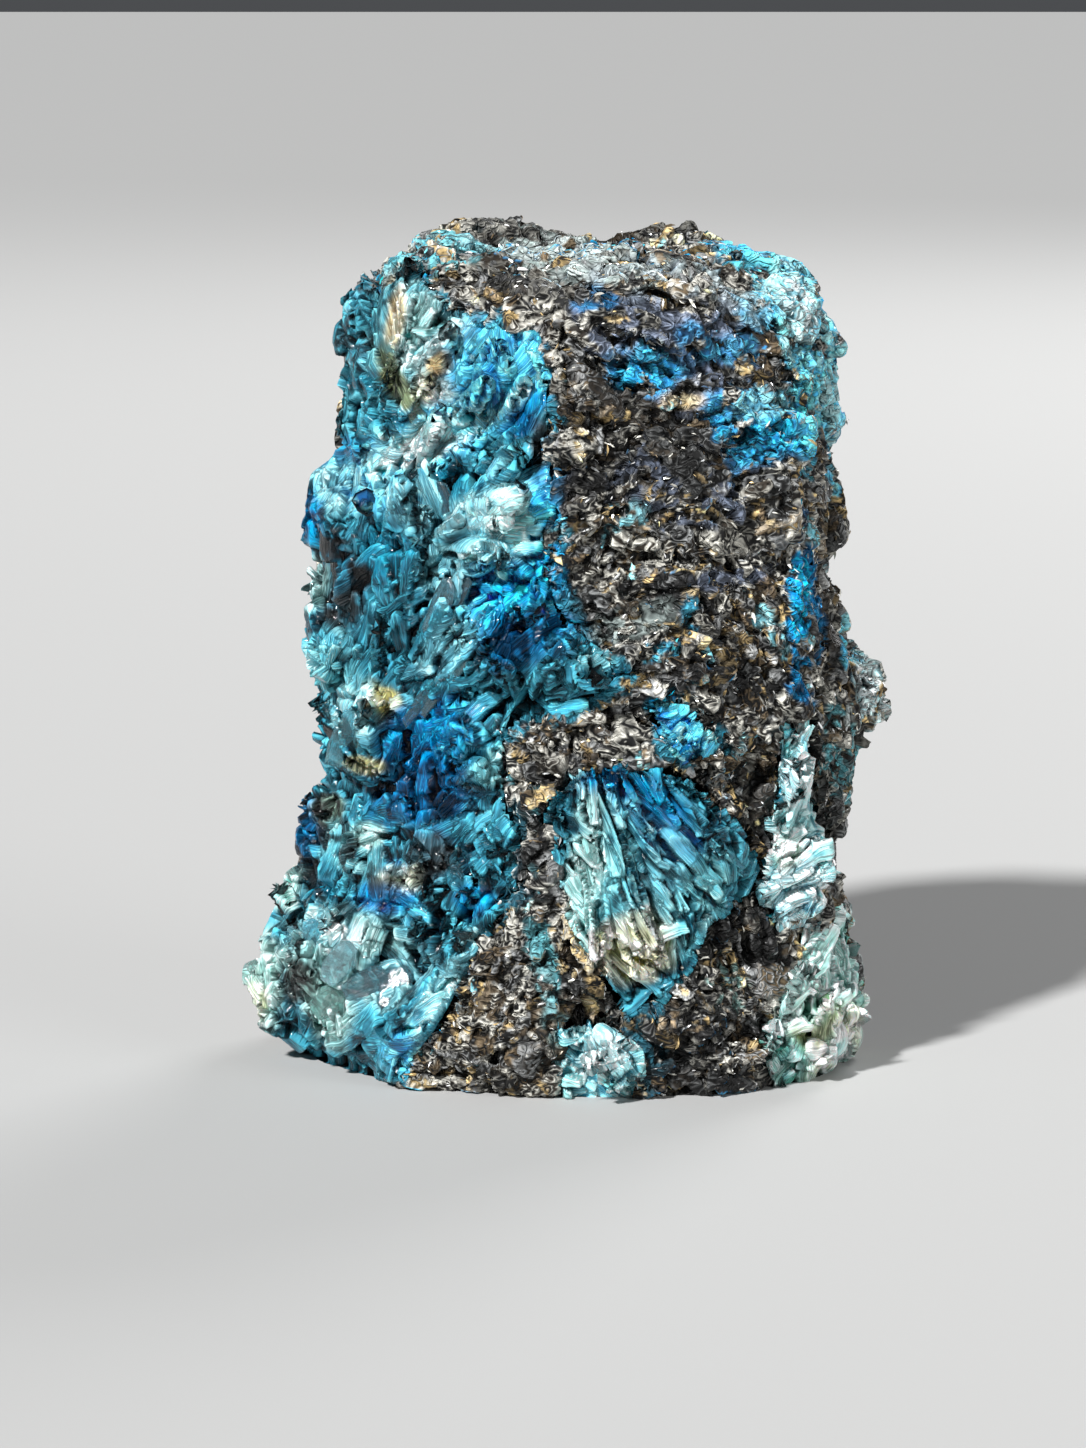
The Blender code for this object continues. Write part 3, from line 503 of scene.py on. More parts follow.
def mesh_object(name, points, faces, tints=None, pale=None, grain=None, edge=None, smooth=False):
    """An object from millimetre points and same-sided faces, with two colours for each point."""
    points = points.copy()
    points[:, 2] = np.maximum(points[:, 2], 0)
    mesh = bpy.data.meshes.new(name)
    mesh.vertices.add(len(points))
    mesh.vertices.foreach_set("co", (points * MM).ravel())
    sides = faces.shape[1]
    mesh.loops.add(faces.size)
    mesh.loops.foreach_set("vertex_index", faces.ravel())
    mesh.polygons.add(len(faces))
    mesh.polygons.foreach_set("loop_start", np.arange(0, faces.size, sides))
    mesh.update(calc_edges=True)
    mesh.polygons.foreach_set("use_smooth", np.full(len(faces), smooth))
    for layer_name, colours in (("Tint", tints), ("Pale", pale)):
        if colours is not None:
            layer = mesh.color_attributes.new(layer_name, "FLOAT_COLOR", "POINT")
            layer.data.foreach_set("color", np.hstack((colours, np.ones((len(colours), 1)))).ravel())
    if grain is not None:
        layer = mesh.attributes.new("Grain", "FLOAT_VECTOR", "POINT")
        layer.data.foreach_set("vector", grain.ravel())
    if edge is not None:
        layer = mesh.attributes.new("Edge", "FLOAT", "POINT")
        layer.data.foreach_set("value", edge.ravel())
    mesh.validate()
    obj = bpy.data.objects.new(name, mesh)
    bpy.context.scene.collection.objects.link(obj)
    return obj


def remeshed(mesh, voxel, smoothing):
    """The outer surface of a mesh with even small faces. The mesh itself is used up."""
    copy = bpy.data.objects.new("source", mesh)
    bpy.context.scene.collection.objects.link(copy)
    even = copy.modifiers.new("Even faces", "REMESH")
    even.mode = "VOXEL"
    even.voxel_size = voxel * MM
    if smoothing:
        soften = copy.modifiers.new("Soft edges", "SMOOTH")
        soften.iterations = smoothing
    result = bpy.data.meshes.new_from_object(copy.evaluated_get(bpy.context.evaluated_depsgraph_get()))
    points = np.empty(len(result.vertices) * 3)
    result.vertices.foreach_get("co", points)
    quads = np.empty(len(result.polygons) * 4, dtype=np.int64)
    result.polygons.foreach_get("vertices", quads)
    bpy.data.objects.remove(copy)
    bpy.data.meshes.remove(mesh)
    bpy.data.meshes.remove(result)
    points = points.reshape(-1, 3) / MM
    quads = quads.reshape(-1, 4)
    return Skin(points, quads, point_normals(points, quads))


def point_normals(points, quads):
    diagonal_a = points[quads[:, 2]] - points[quads[:, 0]]
    diagonal_b = points[quads[:, 3]] - points[quads[:, 1]]
    face_normals = np.cross(diagonal_a, diagonal_b)
    normals = np.zeros_like(points)
    for side in range(4):
        np.add.at(normals, quads[:, side], face_normals)
    return unit(normals)


def moved(skin, distances):
    points = skin.points + skin.normals * distances[:, None]
    points[:, 2] = np.where(skin.points[:, 2] < 0.3, skin.points[:, 2], points[:, 2])
    return Skin(points, skin.quads, point_normals(points, skin.quads))


def height_above(skin, rounds):
    """How far each point stands above its smoothed surroundings, in millimetres."""
    neighbours = np.zeros(len(skin.points))
    for side in range(4):
        np.add.at(neighbours, skin.quads[:, side], 1)
    level = skin.points
    for _ in range(rounds):
        total = np.zeros_like(level)
        for side in range(4):
            np.add.at(total, skin.quads[:, side], level[skin.quads[:, side - 1]])
        level = total / neighbours[:, None]
    return np.sum((skin.points - level) * skin.normals, axis=1)


def finer(skin, chosen):
    """The skin with each of the chosen faces split in four."""
    quads = skin.quads[chosen]
    sides = np.stack((quads, np.roll(quads, -1, axis=1)), axis=2)
    pairs, numbers = np.unique(np.sort(sides.reshape(-1, 2), axis=1), axis=0, return_inverse=True)
    numbers = numbers.reshape(-1, 4) + len(skin.points)
    hearts = len(skin.points) + len(pairs) + np.arange(len(quads))
    points = np.vstack((skin.points, skin.points[pairs].mean(axis=1), skin.points[quads].mean(axis=1)))
    split = [np.stack((quads[:, side], numbers[:, side], hearts, numbers[:, side - 1]), axis=1) for side in range(4)]
    quads = np.vstack([skin.quads[~chosen]] + split)
    return Skin(points, quads, point_normals(points, quads))


def without_hidden_faces(skin, tree, rim=2):
    """A skin without the faces that lie against a neighbour, where nobody can see them."""
    seen = open_to_air(skin, tree)
    for _ in range(rim):
        face_seen = seen[skin.quads].max(axis=1)
        for side in range(4):
            np.maximum.at(seen, skin.quads[:, side], face_seen)
    quads = skin.quads[seen[skin.quads].min(axis=1) > 0]
    used, numbered = np.unique(quads, return_inverse=True)
    return Skin(skin.points[used], numbered.reshape(-1, 4), skin.normals[used])


def triangles_of(quads):
    return np.vstack((quads[:, (0, 1, 2)], quads[:, (0, 2, 3)]))


def tree_of(skins):
    """A search tree over the surfaces of some skins."""
    points = []
    faces = []
    for skin in skins:
        faces += (skin.quads + len(points)).tolist()
        points += skin.points.tolist()
    return BVHTree.FromPolygons(points, faces)


def open_to_air(skin, tree, reach=1.6):
    """Which points of a skin have no other solid close in front of them, as 1 or 0."""
    free = np.ones(len(skin.points))
    for index, (point, normal) in enumerate(zip(skin.points, skin.normals)):
        start = Vector(point) - Vector(normal) * 0.4
        if tree.ray_cast(start, Vector(normal), reach)[0] is not None:
            free[index] = 0
    return free


def scattered(skin, wanted, weight, rng):
    """Random places on a skin, with their normals. The weight of each point says how many fall near it."""
    faces = triangles_of(skin.quads)
    corners = skin.points[faces]
    areas = np.linalg.norm(np.cross(corners[:, 1] - corners[:, 0], corners[:, 2] - corners[:, 0]), axis=1)
    chance = areas * weight[faces].mean(axis=1)
    picked = rng.choice(len(faces), wanted, p=chance / chance.sum())
    first = np.sqrt(rng.random(wanted))
    second = rng.random(wanted)
    shares = np.stack((1 - first, first * (1 - second), first * second), axis=1)
    places = np.einsum("ij,ijk->ik", shares, corners[picked])
    normals = unit(np.einsum("ij,ijk->ik", shares, skin.normals[faces[picked]]))
    return places, normals


# Small closed shapes, along x, across y and out along z, each with its triangles

def facing_out(points, faces):
    """The shape with all its triangles turned outwards."""
    points = np.array(points, dtype=float)
    turned = []
    for a, b, c in faces:
        normal = np.cross(points[b] - points[a], points[c] - points[a])
        outward = (points[a] + points[b] + points[c]) / 3 - points.mean(axis=0)
        turned.append((a, b, c) if normal @ outward > 0 else (a, c, b))
    return points, np.array(turned)


def blade_shape():
    """A flat six-sided blade with a chisel tip, from its root at x 0 to its tip at x 1."""
    section = ((0.5, 0), (0.3, 0.5), (-0.3, 0.5), (-0.5, 0), (-0.3, -0.5), (0.3, -0.5))
    points = [(0, 0.8 * y, 0.8 * z) for y, z in section]
    points += [(0.8, y, z) for y, z in section]
    points += [(1.0, -0.22, 0.0), (0.94, 0.24, 0.0)]
    faces = [(0, 2, 1), (0, 3, 2), (0, 4, 3), (0, 5, 4)]
    for side in range(6):
        after = (side + 1) % 6
        faces += [(side, after, 6 + after), (side, 6 + after, 6 + side)]
    faces += [(6, 7, 13), (7, 8, 12), (7, 12, 13), (8, 9, 12), (9, 10, 12), (10, 11, 13), (10, 13, 12), (11, 6, 13)]
    return facing_out(points, faces)


def knob_shape():
    """A rounded lump with twenty facets, centred half way along x."""
    golden = (1 + math.sqrt(5)) / 2
    points = []
    for a, b in itertools.product((-1, 1), repeat=2):
        points += [(0, a, b * golden), (a, b * golden, 0), (b * golden, 0, a)]
    points = np.array(points) / math.hypot(1, golden)
    faces = [trio for trio in itertools.combinations(range(12), 3)
             if all(np.linalg.norm(points[i] - points[j]) < 1.1 for i, j in itertools.combinations(trio, 2))]
    return facing_out(points * 0.5 + (0.5, 0, 0), faces)


def plate_shape():
    """A thin plate with a rounded outline and bevelled edges."""
    outline = ((0, 0.3), (0.3, 0.46), (0.62, 0.5), (0.88, 0.36), (1, 0.06), (0.9, -0.3), (0.62, -0.5), (0.3, -0.46), (0, -0.3))
    count = len(outline)
    points = [(x, y, 0) for x, y in outline]
    points += [(0.06 + 0.86 * x, 0.78 * y, 0.5) for x, y in outline]
    points += [(0.06 + 0.86 * x, 0.78 * y, -0.5) for x, y in outline]
    faces = []
    for side in range(count):
        after = (side + 1) % count
        for level in (count, 2 * count):
            faces += [(side, after, level + after), (side, level + after, level + side)]
    for level in (count, 2 * count):
        faces += [(level, level + side, level + side + 1) for side in range(1, count - 1)]
    return facing_out(points, faces)


def curl_shape():
    """A slim curled sliver, pointed at both ends."""
    points = [(-0.5, 0, -0.3)]
    for x in (-0.2, 0.2):
        points += [(x, -0.2, 0), (x, 0.8, 0), (x, 0.3, 0.7)]
    points += [(0.5, 0, -0.3)]
    faces = [(0, 1, 3), (0, 3, 2), (0, 2, 1), (7, 4, 6), (7, 6, 5), (7, 5, 4)]
    for a, b in ((1, 3), (3, 2), (2, 1)):
        faces += [(a, b, b + 3), (a, b + 3, a + 3)]
    return facing_out(points, faces)


SHAPES = {"blade": blade_shape(), "knob": knob_shape(), "plate": plate_shape(), "curl": curl_shape()}


def copies(shape, places, axes, outs, sizes, uneven, rng):
    """Copies of a small shape, each with its own place, axes, size and unevenness."""
    template, faces = SHAPES[shape]
    outs = unit(outs - axes * np.sum(outs * axes, axis=1, keepdims=True))
    sides = np.cross(outs, axes)
    local = template[None] + uneven * rng.uniform(-1, 1, (len(places), len(template), 3))
    local = local * sizes[:, None, :]
    points = places[:, None] + local[..., :1] * axes[:, None]
    points = points + local[..., 1:2] * sides[:, None] + local[..., 2:] * outs[:, None]
    starts = np.arange(len(places)) * len(template)
    all_faces = faces[None] + starts[:, None, None]
    return points.reshape(-1, 3), all_faces.reshape(-1, 3), local


def joined(parts):
    """Several (points, faces, tints, pale tints, grain, edge) sets as one."""
    starts = np.cumsum([0] + [len(part[0]) for part in parts])
    faces = np.vstack([part[1] + start for part, start in zip(parts, starts)])
    points, _, *layers = [np.vstack(column) for column in zip(*parts)]
    return points, faces, *layers


# Blades and flakes, as overlapping steps in a surface

def blades_of(skin, weight, growths, grain, rng):
    """Where the blades of all the patches lie, which way they run, how large and how steep they are."""
    sets = []
    for *oval, shape, count, length, width, thickness, lean, scatter in growths:
        places, normals = scattered(skin, count, weight * (inside_oval(skin.points, *oval) < 1), rng)
        angles = grain_angles(places, grain) + rng.normal(0, scatter, count)
        axes = on_photo_plane(angles) + 0.12 * rng.normal(0, 1, (count, 3))
        axes = unit(axes - normals * np.sum(axes * normals, axis=1, keepdims=True))
        sizes = np.array((length, width, thickness)) * np.exp(rng.normal(0, 0.3, (count, 1)))
        sizes *= np.exp(rng.normal(0, 0.15, (count, 3)))
        slopes = np.tan(np.radians(rng.normal(lean, 5, count)))
        rolls = rng.normal(0, 0.3, (count, 2))
        sets.append(Blades(places, normals, axes, sizes, slopes, rolls, np.full(count, shape == "knob")))
    return Blades(*[np.concatenate(column) for column in zip(*sets)])


def stepped(skin, blades, hollow):
    """The skin with all its blades raised. Where no blade lies it is sunk by the hollow.

    Each blade slopes up to its tip, is tilted or gabled across, and falls off at its edges. Of the blades
    that cover a point the highest one owns it. The reach is 0 in the middle of a blade and 1 at its edge.
    """
    tree = KDTree(len(skin.points))
    for number, point in enumerate(skin.points):
        tree.insert(point, number)
    tree.balance()
    height = np.full(len(skin.points), -hollow)
    reach = np.ones(len(skin.points))
    owner = np.full(len(skin.points), -1)
    grain = skin.points.copy()
    for number, (place, normal, axis, size, slope, roll, is_round) in enumerate(zip(*blades)):
        near = [found[1] for found in tree.find_range(place, 0.55 * size[0])]
        if not near:
            continue
        near = np.array(near)
        away = skin.points[near] - place
        along = away @ axis
        over = away @ np.cross(normal, axis)
        u = 2 * along / size[0]
        v = 2 * over / size[1] / (1 - 0.4 * np.clip(u, 0, 1))
        power = 2 if is_round else 5
        spread = (np.abs(u) ** power + np.abs(v) ** power) ** (1 / power)
        spread = np.where(skin.normals[near] @ normal > 0.3, spread, 2)
        edge = np.sqrt(np.clip(1 - spread ** 2, 0, 1)) if is_round else np.clip((1 - spread) / 0.22, 0, 1)
        top = size[2] + slope * (along + 0.5 * size[0]) + roll[0] * over - abs(roll[1]) * np.abs(over)
        square = skin.normals[near] @ normal
        flat = (top - away @ normal) / np.maximum(square, 0.4)
        raised = (np.clip(flat, -hollow, 1.6) + hollow) * edge - hollow
        higher = (spread < 1) & (raised > height[near])
        near = near[higher]
        height[near] = raised[higher]
        reach[near] = spread[higher]
        owner[near] = number
        grain[near] = np.stack((along, over, np.full(len(along), 7.3 * number)), axis=1)[higher]
    return Steps(moved(skin, height - height.mean()), reach, owner, grain)


# The rock

def bedded(points):
    """Coordinates squeezed across the layers of the rock, which dip to the right."""
    dip = math.radians(-18)
    along = points[:, 0] * math.cos(dip) + points[:, 2] * math.sin(dip)
    over = points[:, 2] * math.cos(dip) - points[:, 0] * math.sin(dip)
    return np.stack((along, points[:, 1], over * 2.2), axis=1)


def rough_rock(skin):
    """The rock's surface with layers, lumps and small pits."""
    height = 1.3 * (ridges(bedded(skin.points), 8.0, 11) - 0.8)
    height += 0.7 * (ridges(bedded(skin.points), 3.4, 12) - 0.6)
    height += 0.5 * streaks(skin.points, ROCK_GRAIN, 3.0, 0.9, 15)
    height -= 0.9 * smooth_step(74, 79, skin.points[:, 2])
    return moved(skin, height)


def crusts(points, normals, crystal_tree):
    """The colour of the crusts on the rock and their cover: as on the photo in front, patches elsewhere."""
    front = smooth_step(-0.05, 0.25, facing_view(points, normals))
    seen, cover = painted(points, ROCK, ROCK_TINTS, 0.5)
    cover = cover * (1 - 0.85 * smooth_step(0.2, 0.5, noise(points, 1.9, 25) + 0.5 * noise(points, 0.8, 26)))
    gap = np.array([(crystal_tree.find_nearest(Vector(point), 4.0)[3] or 4.0) for point in points])
    spill, _ = painted(points, TEAL, CRYSTAL_TINTS + FAN_TINTS)
    fringe = 0.7 * smooth_step(1.6, 0.2, gap + 1.6 * noise(points, 2.2, 31))
    seen = blended(seen, spill, fringe * (1 - cover))
    cover = cover + fringe * (1 - cover)
    patch = noise(points, 16, 21) + 0.5 * noise(points, 5, 22) + 0.25 * noise(points, 1.6, 23)
    hidden_cover = np.maximum(smooth_step(0.42, 0.75, patch) * 0.7, fringe * 0.6)
    hidden = blended(np.tile(GREY_GREEN, (len(points), 1)), AZURE, smooth_step(-0.2, 0.2, noise(points, 24, 24)))
    return blended(hidden, seen, front), front * cover + (1 - front) * hidden_cover


def flake_colours(count, rng):
    """A colour of the bare rock for each flake."""
    own = np.array(FLAKE_COLOURS)[rng.choice(len(FLAKE_COLOURS), count, p=FLAKE_SHARES)]
    return own * np.exp(rng.normal(0, 0.4, count))[:, None]


def curls(skin, wanted, weight, length, crystal_tree, rng):
    """Small curled slivers that stand out of the rock along its grain, with their colours."""
    places, normals = scattered(skin, wanted, weight, rng)
    angles = grain_angles(places, ROCK_GRAIN) + rng.normal(0, 40, wanted)
    axes = on_photo_plane(angles) + 0.3 * rng.normal(0, 1, (wanted, 3))
    axes = unit(axes - normals * np.sum(axes * normals, axis=1, keepdims=True))
    axes = unit(axes + rng.normal(0.1, 0.2, (wanted, 1)) * normals)
    outs = normals + 0.5 * rng.normal(0, 1, (wanted, 3))
    lengths = length * np.exp(rng.normal(0, 0.35, wanted))
    widths = lengths * rng.uniform(0.12, 0.28, wanted) * rng.choice((-1, 1), wanted)
    sizes = np.stack((lengths * np.sign(widths), widths, 0.22 * lengths), axis=1)
    points, faces, local = copies("curl", places, axes, outs, sizes, 0.1, rng)
    stain, cover = crusts(places, normals, crystal_tree)
    own = np.array(CURL_COLOURS)[rng.choice(len(CURL_COLOURS), wanted, p=CURL_SHARES)]
    stained = rng.random(wanted) < cover
    base = np.where(stained[:, None], lightened(stain, 2.0), own) * np.exp(rng.normal(0, 0.4, wanted))[:, None]
    tints = np.repeat(np.clip(base, 0, 0.95), len(SHAPES["curl"][0]), axis=0)
    return points, faces, tints, tints, local.reshape(-1, 3), np.zeros((len(points), 1))


# The crystals

def crystal_mass(skin, growths, ground, tints, hollow, rng):
    """A mass of overlapping crystals: darkened with painted shade in its hollows and gaps, and lightened with a
    painted highlight on its crests and along its edges.
    """
    blades = blades_of(skin, (skin.points[:, 2] > 0.4) * 1.0, growths, CRYSTAL_GRAIN, rng)
    skin, reach, owner, grain = stepped(skin, blades, hollow)
    skin = moved(skin, 0.05 * noise(grain * (0.3, 1, 0.01), 0.25, 41))
    colours, _ = painted(skin.points, ground, tints)
    count = len(blades.places)
    lightness = np.append(np.exp(rng.normal(0.0, 0.2, count)), 0.3)
    whiteness = np.append(np.clip(rng.normal(-0.05, 0.2, count), 0, 0.5), 0)
    tip = smooth_step(-1.5, 1.5, grain[:, 0])
    colours = colours * (lightness[owner] * (0.85 + 0.3 * tip))[:, None]
    broad = height_above(skin, 24)
    # Painted shade: a darker, bluer colour laid into the gaps between blades and into the hollows of the mass.
    shade_colours = 0.4 * np.clip(colours, 0, 1) ** 3
    shaded_gaps = smooth_step(0.15, 0.5, noise(skin.points, 2.4, 43) + 0.5 * noise(skin.points, 0.9, 44))
    colours = blended(colours, shade_colours, 0.85 * shaded_gaps * smooth_step(0.4, 0.1, broad))
    colours = blended(colours, shade_colours, smooth_step(0.05, -0.35, broad))
    _, broken = painted(skin.points, ground, BROKEN_ZONES)
    holes = noise(skin.points, 1.7, 45) + 0.6 * noise(skin.points, 0.7, 46)
    colours = blended(colours, ROCK, 0.95 * broken * smooth_step(0.05, 0.35, holes))
    paleness = smooth_step(0.05, 0.6, colours[:, 1])
    # Painted highlight: the crests of the mass and the tips of the blades are lightened.
    crest_highlight = 0.6 * smooth_step(0.1, 0.6, broad) + 0.15 * tip
    colours = blended(colours, lightened(colours, 2.0), crest_highlight)
    colours = blended(colours, WHITE, whiteness[owner] * tip * paleness)
    colours = np.clip(colours, 0, 0.92)
    pale = np.clip(lightened(colours, 4.0), 0, 0.95)
    return skin.points, skin.quads, colours, pale, grain, reach[:, None]


def clear_plates(tree, rng):
    """The free clear plates, rooted where the photo shows them."""
    parts = []
    for x, y, way, lean, length, width, thickness, colour in CLEAR_PLATES:
        hit, normal, _, _ = tree.ray_cast(Vector(VIEW_FROM), Vector(sight_line(x, y)))
        normal = unit(np.array(normal) - 1.5 * VIEW_AHEAD)
        axis = on_photo_plane(np.array([way]))[0]
        axis = unit(axis - normal * (axis @ normal))
        lift = math.radians(lean)
        axis = axis * math.cos(lift) + normal * math.sin(lift)
        start = np.array(hit) - axis * length * 0.5 + normal * thickness * 0.4
        size = np.array([(length, width, thickness)])
        points, faces, local = copies("plate", start[None], axis[None], normal[None], size, 0.04, rng)
        tints = np.tile(colour, (len(points), 1))
        parts.append((points, faces, tints, tints, local.reshape(-1, 3), np.zeros((len(points), 1))))
    return joined(parts)


# Materials

def new_material(name):
    material = bpy.data.materials.new(name)
    material.use_nodes = True
    nodes = material.node_tree.nodes
    return material, nodes, material.node_tree.links, nodes["Principled BSDF"]


def attribute(nodes, name):
    node = nodes.new("ShaderNodeAttribute")
    node.attribute_name = name
    return node.outputs[{"Grain": "Vector", "Edge": "Fac"}.get(name, "Color")]


def stretched(nodes, links, source, scale, turn=(0, 0, 0)):
    """Coordinates turned and scaled, in features for each metre or millimetre."""
    mapping = nodes.new("ShaderNodeMapping")
    mapping.inputs["Scale"].default_value = scale
    mapping.inputs["Rotation"].default_value = turn
    links.new(source, mapping.inputs["Vector"])
    return mapping.outputs["Vector"]


def noise_node(nodes, links, place, detail, kind="FBM", distortion=0.0):
    speckle = nodes.new("ShaderNodeTexNoise")
    speckle.noise_type = kind
    speckle.inputs["Scale"].default_value = 1.0
    speckle.inputs["Detail"].default_value = detail
    speckle.inputs["Distortion"].default_value = distortion
    links.new(place, speckle.inputs["Vector"])
    return speckle.outputs["Fac"]


def ranged(nodes, links, source, low, high, from_low=0.3, from_high=0.7):
    """A noise value stretched to a range."""
    stretch = nodes.new("ShaderNodeMapRange")
    stretch.inputs["From Min"].default_value = from_low
    stretch.inputs["From Max"].default_value = from_high
    stretch.inputs["To Min"].default_value = low
    stretch.inputs["To Max"].default_value = high
    links.new(source, stretch.inputs["Value"])
    return stretch.outputs["Result"]


def bumped(nodes, links, height, distance, shader):
    bump = nodes.new("ShaderNodeBump")
    bump.inputs["Distance"].default_value = distance * MM
    links.new(height, bump.inputs["Height"])
    links.new(bump.outputs["Normal"], shader.inputs["Normal"])


def mixed(nodes, links, factor, first, second, how="MIX"):
    """Two colours mixed. The factor and the second colour may be values or sockets."""
    mix = nodes.new("ShaderNodeMix")
    mix.data_type = "RGBA"
    mix.blend_type = how
    for socket, wanted in zip((mix.inputs[0], mix.inputs[6], mix.inputs[7]), (factor, first, second)):
        if isinstance(wanted, bpy.types.NodeSocket):
            links.new(wanted, socket)
        else:
            socket.default_value = wanted
    return mix.outputs[2]


def curly_lines(nodes, links, place, gap, width):
    """Thin lines that wind about like the height lines of a map, from 0 to 1."""
    field = noise_node(nodes, links, place, 1.5, distortion=0.5)
    wave = nodes.new("ShaderNodeMath")
    wave.operation = "PINGPONG"
    wave.inputs[1].default_value = gap
    links.new(field, wave.inputs[0])
    return ranged(nodes, links, wave.outputs[0], 1.0, 0.0, 0.0, width)


def painted_rim_and_gap_shade(nodes, links, strength, shade):
    """A painted highlight as a bright rim near the edge of each blade or flake, and painted shade in the gap beyond
    it.
    """
    edge = attribute(nodes, "Edge")
    ramp = nodes.new("ShaderNodeValToRGB")
    ramp.color_ramp.elements[0].position = 0.66
    ramp.color_ramp.elements[1].position = 0.94
    ramp.color_ramp.elements[1].color = (0, 0, 0, 1)
    for place in (0.78, 0.86):
        ramp.color_ramp.elements.new(place).color = (strength, strength, strength, 1)
    links.new(edge, ramp.inputs["Fac"])
    return ramp.outputs["Color"], ranged(nodes, links, edge, 1.0, shade, 0.9, 1.0)


def rock_material():
    """Dark rock with a net of thin pale lines that stand up a little."""
    material, nodes, links, shader = new_material("dark_rock")
    place = nodes.new("ShaderNodeTexCoord").outputs["Object"]
    grit = noise_node(nodes, links, stretched(nodes, links, place, (1700, 1700, 1700)), 3.0)
    lines = curly_lines(nodes, links, stretched(nodes, links, place, (600, 600, 850), (0, 0.35, 0)), 0.10, 0.07)
    dark = mixed(nodes, links, 1.0, attribute(nodes, "Tint"), ranged(nodes, links, grit, 0.2, 1.9), "MULTIPLY")
    # The rim is a painted highlight along the edges of the flakes.
    rim, _ = painted_rim_and_gap_shade(nodes, links, 1.0, 1.0)
    broken = mixed(nodes, links, 1.0, rim, ranged(nodes, links, grit, 0.2, 1.0), "MULTIPLY")
    lined = mixed(nodes, links, lines, dark, attribute(nodes, "Pale"))
    links.new(mixed(nodes, links, broken, lined, attribute(nodes, "Pale")), shader.inputs["Base Color"])
    links.new(ranged(nodes, links, grit, 0.25, 0.6), shader.inputs["Roughness"])
    bumped(nodes, links, lines, 0.35, shader)
    shader.inputs["Specular IOR Level"].default_value = 0.18
    return material


def curl_material():
    """Thin slivers with a metallic glint."""
    material, nodes, links, shader = new_material("rock_curls")
    place = nodes.new("ShaderNodeTexCoord").outputs["Object"]
    speckle = noise_node(nodes, links, stretched(nodes, links, place, (1600, 1600, 1600)), 2.0)
    tint = mixed(nodes, links, 1.0, attribute(nodes, "Tint"), ranged(nodes, links, speckle, 0.6, 1.5), "MULTIPLY")
    links.new(tint, shader.inputs["Base Color"])
    links.new(ranged(nodes, links, speckle, 0.16, 0.42), shader.inputs["Roughness"])
    shader.inputs["Metallic"].default_value = 0.35
    shader.inputs["IOR"].default_value = 1.6
    return material


def crystal_material(name, roughness, glow, stretch, crispness):
    """Translucent crystal with fine lines along each blade, and thin pale lines that wind about in it."""
    material, nodes, links, shader = new_material(name)
    grain = attribute(nodes, "Grain")
    place = nodes.new("ShaderNodeTexCoord").outputs["Object"]
    veil = noise_node(nodes, links, stretched(nodes, links, place, (420, 420, 420)), 5.0)
    fibres = noise_node(nodes, links, stretched(nodes, links, grain, stretch), 2.0)
    loops = curly_lines(nodes, links, stretched(nodes, links, grain, [0.4 * size for size in stretch]), 0.10, 0.05)
    veiled = mixed(nodes, links, 1.0, attribute(nodes, "Tint"), ranged(nodes, links, veil, 0.45, 1.6), "MULTIPLY")
    lined = mixed(nodes, links, 1.0, veiled, ranged(nodes, links, fibres, 0.4, 1.5), "MULTIPLY")
    looped = mixed(nodes, links, ranged(nodes, links, loops, 0.0, 0.95, 0.2, 1.0), lined, attribute(nodes, "Pale"))
    # The rim is a painted highlight along the blade edges; the gap is painted shade between the blades.
    rim, gap = painted_rim_and_gap_shade(nodes, links, crispness, 0.9 - 0.9 * crispness)
    edged = mixed(nodes, links, rim, looped, attribute(nodes, "Pale"))
    links.new(mixed(nodes, links, 1.0, edged, gap, "MULTIPLY"), shader.inputs["Base Color"])
    links.new(ranged(nodes, links, veil, roughness * 0.4, roughness * 2.0), shader.inputs["Roughness"])
    both = nodes.new("ShaderNodeMath")
    both.operation = "MULTIPLY_ADD"
    both.inputs[1].default_value = 0.7
    links.new(loops, both.inputs[0])
    links.new(fibres, both.inputs[2])
    bumped(nodes, links, both.outputs[0], 0.18, shader)
    shader.inputs["IOR"].default_value = 1.52
    shader.inputs["Subsurface Weight"].default_value = glow
    shader.inputs["Subsurface Radius"].default_value = (0.5, 1.0, 1.0)
    shader.inputs["Subsurface Scale"].default_value = 0.5 * MM
    shader.inputs["Specular IOR Level"].default_value = 0.25
    shader.inputs["Coat Weight"].default_value = 0.15
    shader.inputs["Coat Roughness"].default_value = 0.05
    return material


def clear_material(name, clearness):
    """Clear crystal with faint lines along it."""
    material, nodes, links, shader = new_material(name)
    tint = attribute(nodes, "Tint")
    lines = noise_node(nodes, links, stretched(nodes, links, attribute(nodes, "Grain"), (0.4, 7, 7)), 3.0)
    pale = mixed(nodes, links, ranged(nodes, links, lines, 0.0, 0.5), tint, (0.8, 0.95, 0.98, 1))
    links.new(pale, shader.inputs["Base Color"])
    links.new(ranged(nodes, links, lines, 0.02, 0.22), shader.inputs["Roughness"])
    bumped(nodes, links, lines, 0.08, shader)
    shader.inputs["IOR"].default_value = 1.52
    shader.inputs["Transmission Weight"].default_value = clearness
    return material


def floor_material():
    material, nodes, links, shader = new_material("pale_floor")
    shader.inputs["Base Color"].default_value = (0.45, 0.45, 0.445, 1)
    shader.inputs["Roughness"].default_value = 0.8
    return material


# The stage

def add_light(name, place, size, power):
    light = bpy.data.lights.new(name, "AREA")
    light.shape = "DISK"
    light.size = size
    light.energy = power
    obj = bpy.data.objects.new(name, light)
    obj.location = place
    obj.rotation_euler = (Vector((0, 0, 0.04)) - Vector(place)).to_track_quat("-Z", "Y").to_euler()
    bpy.context.scene.collection.objects.link(obj)


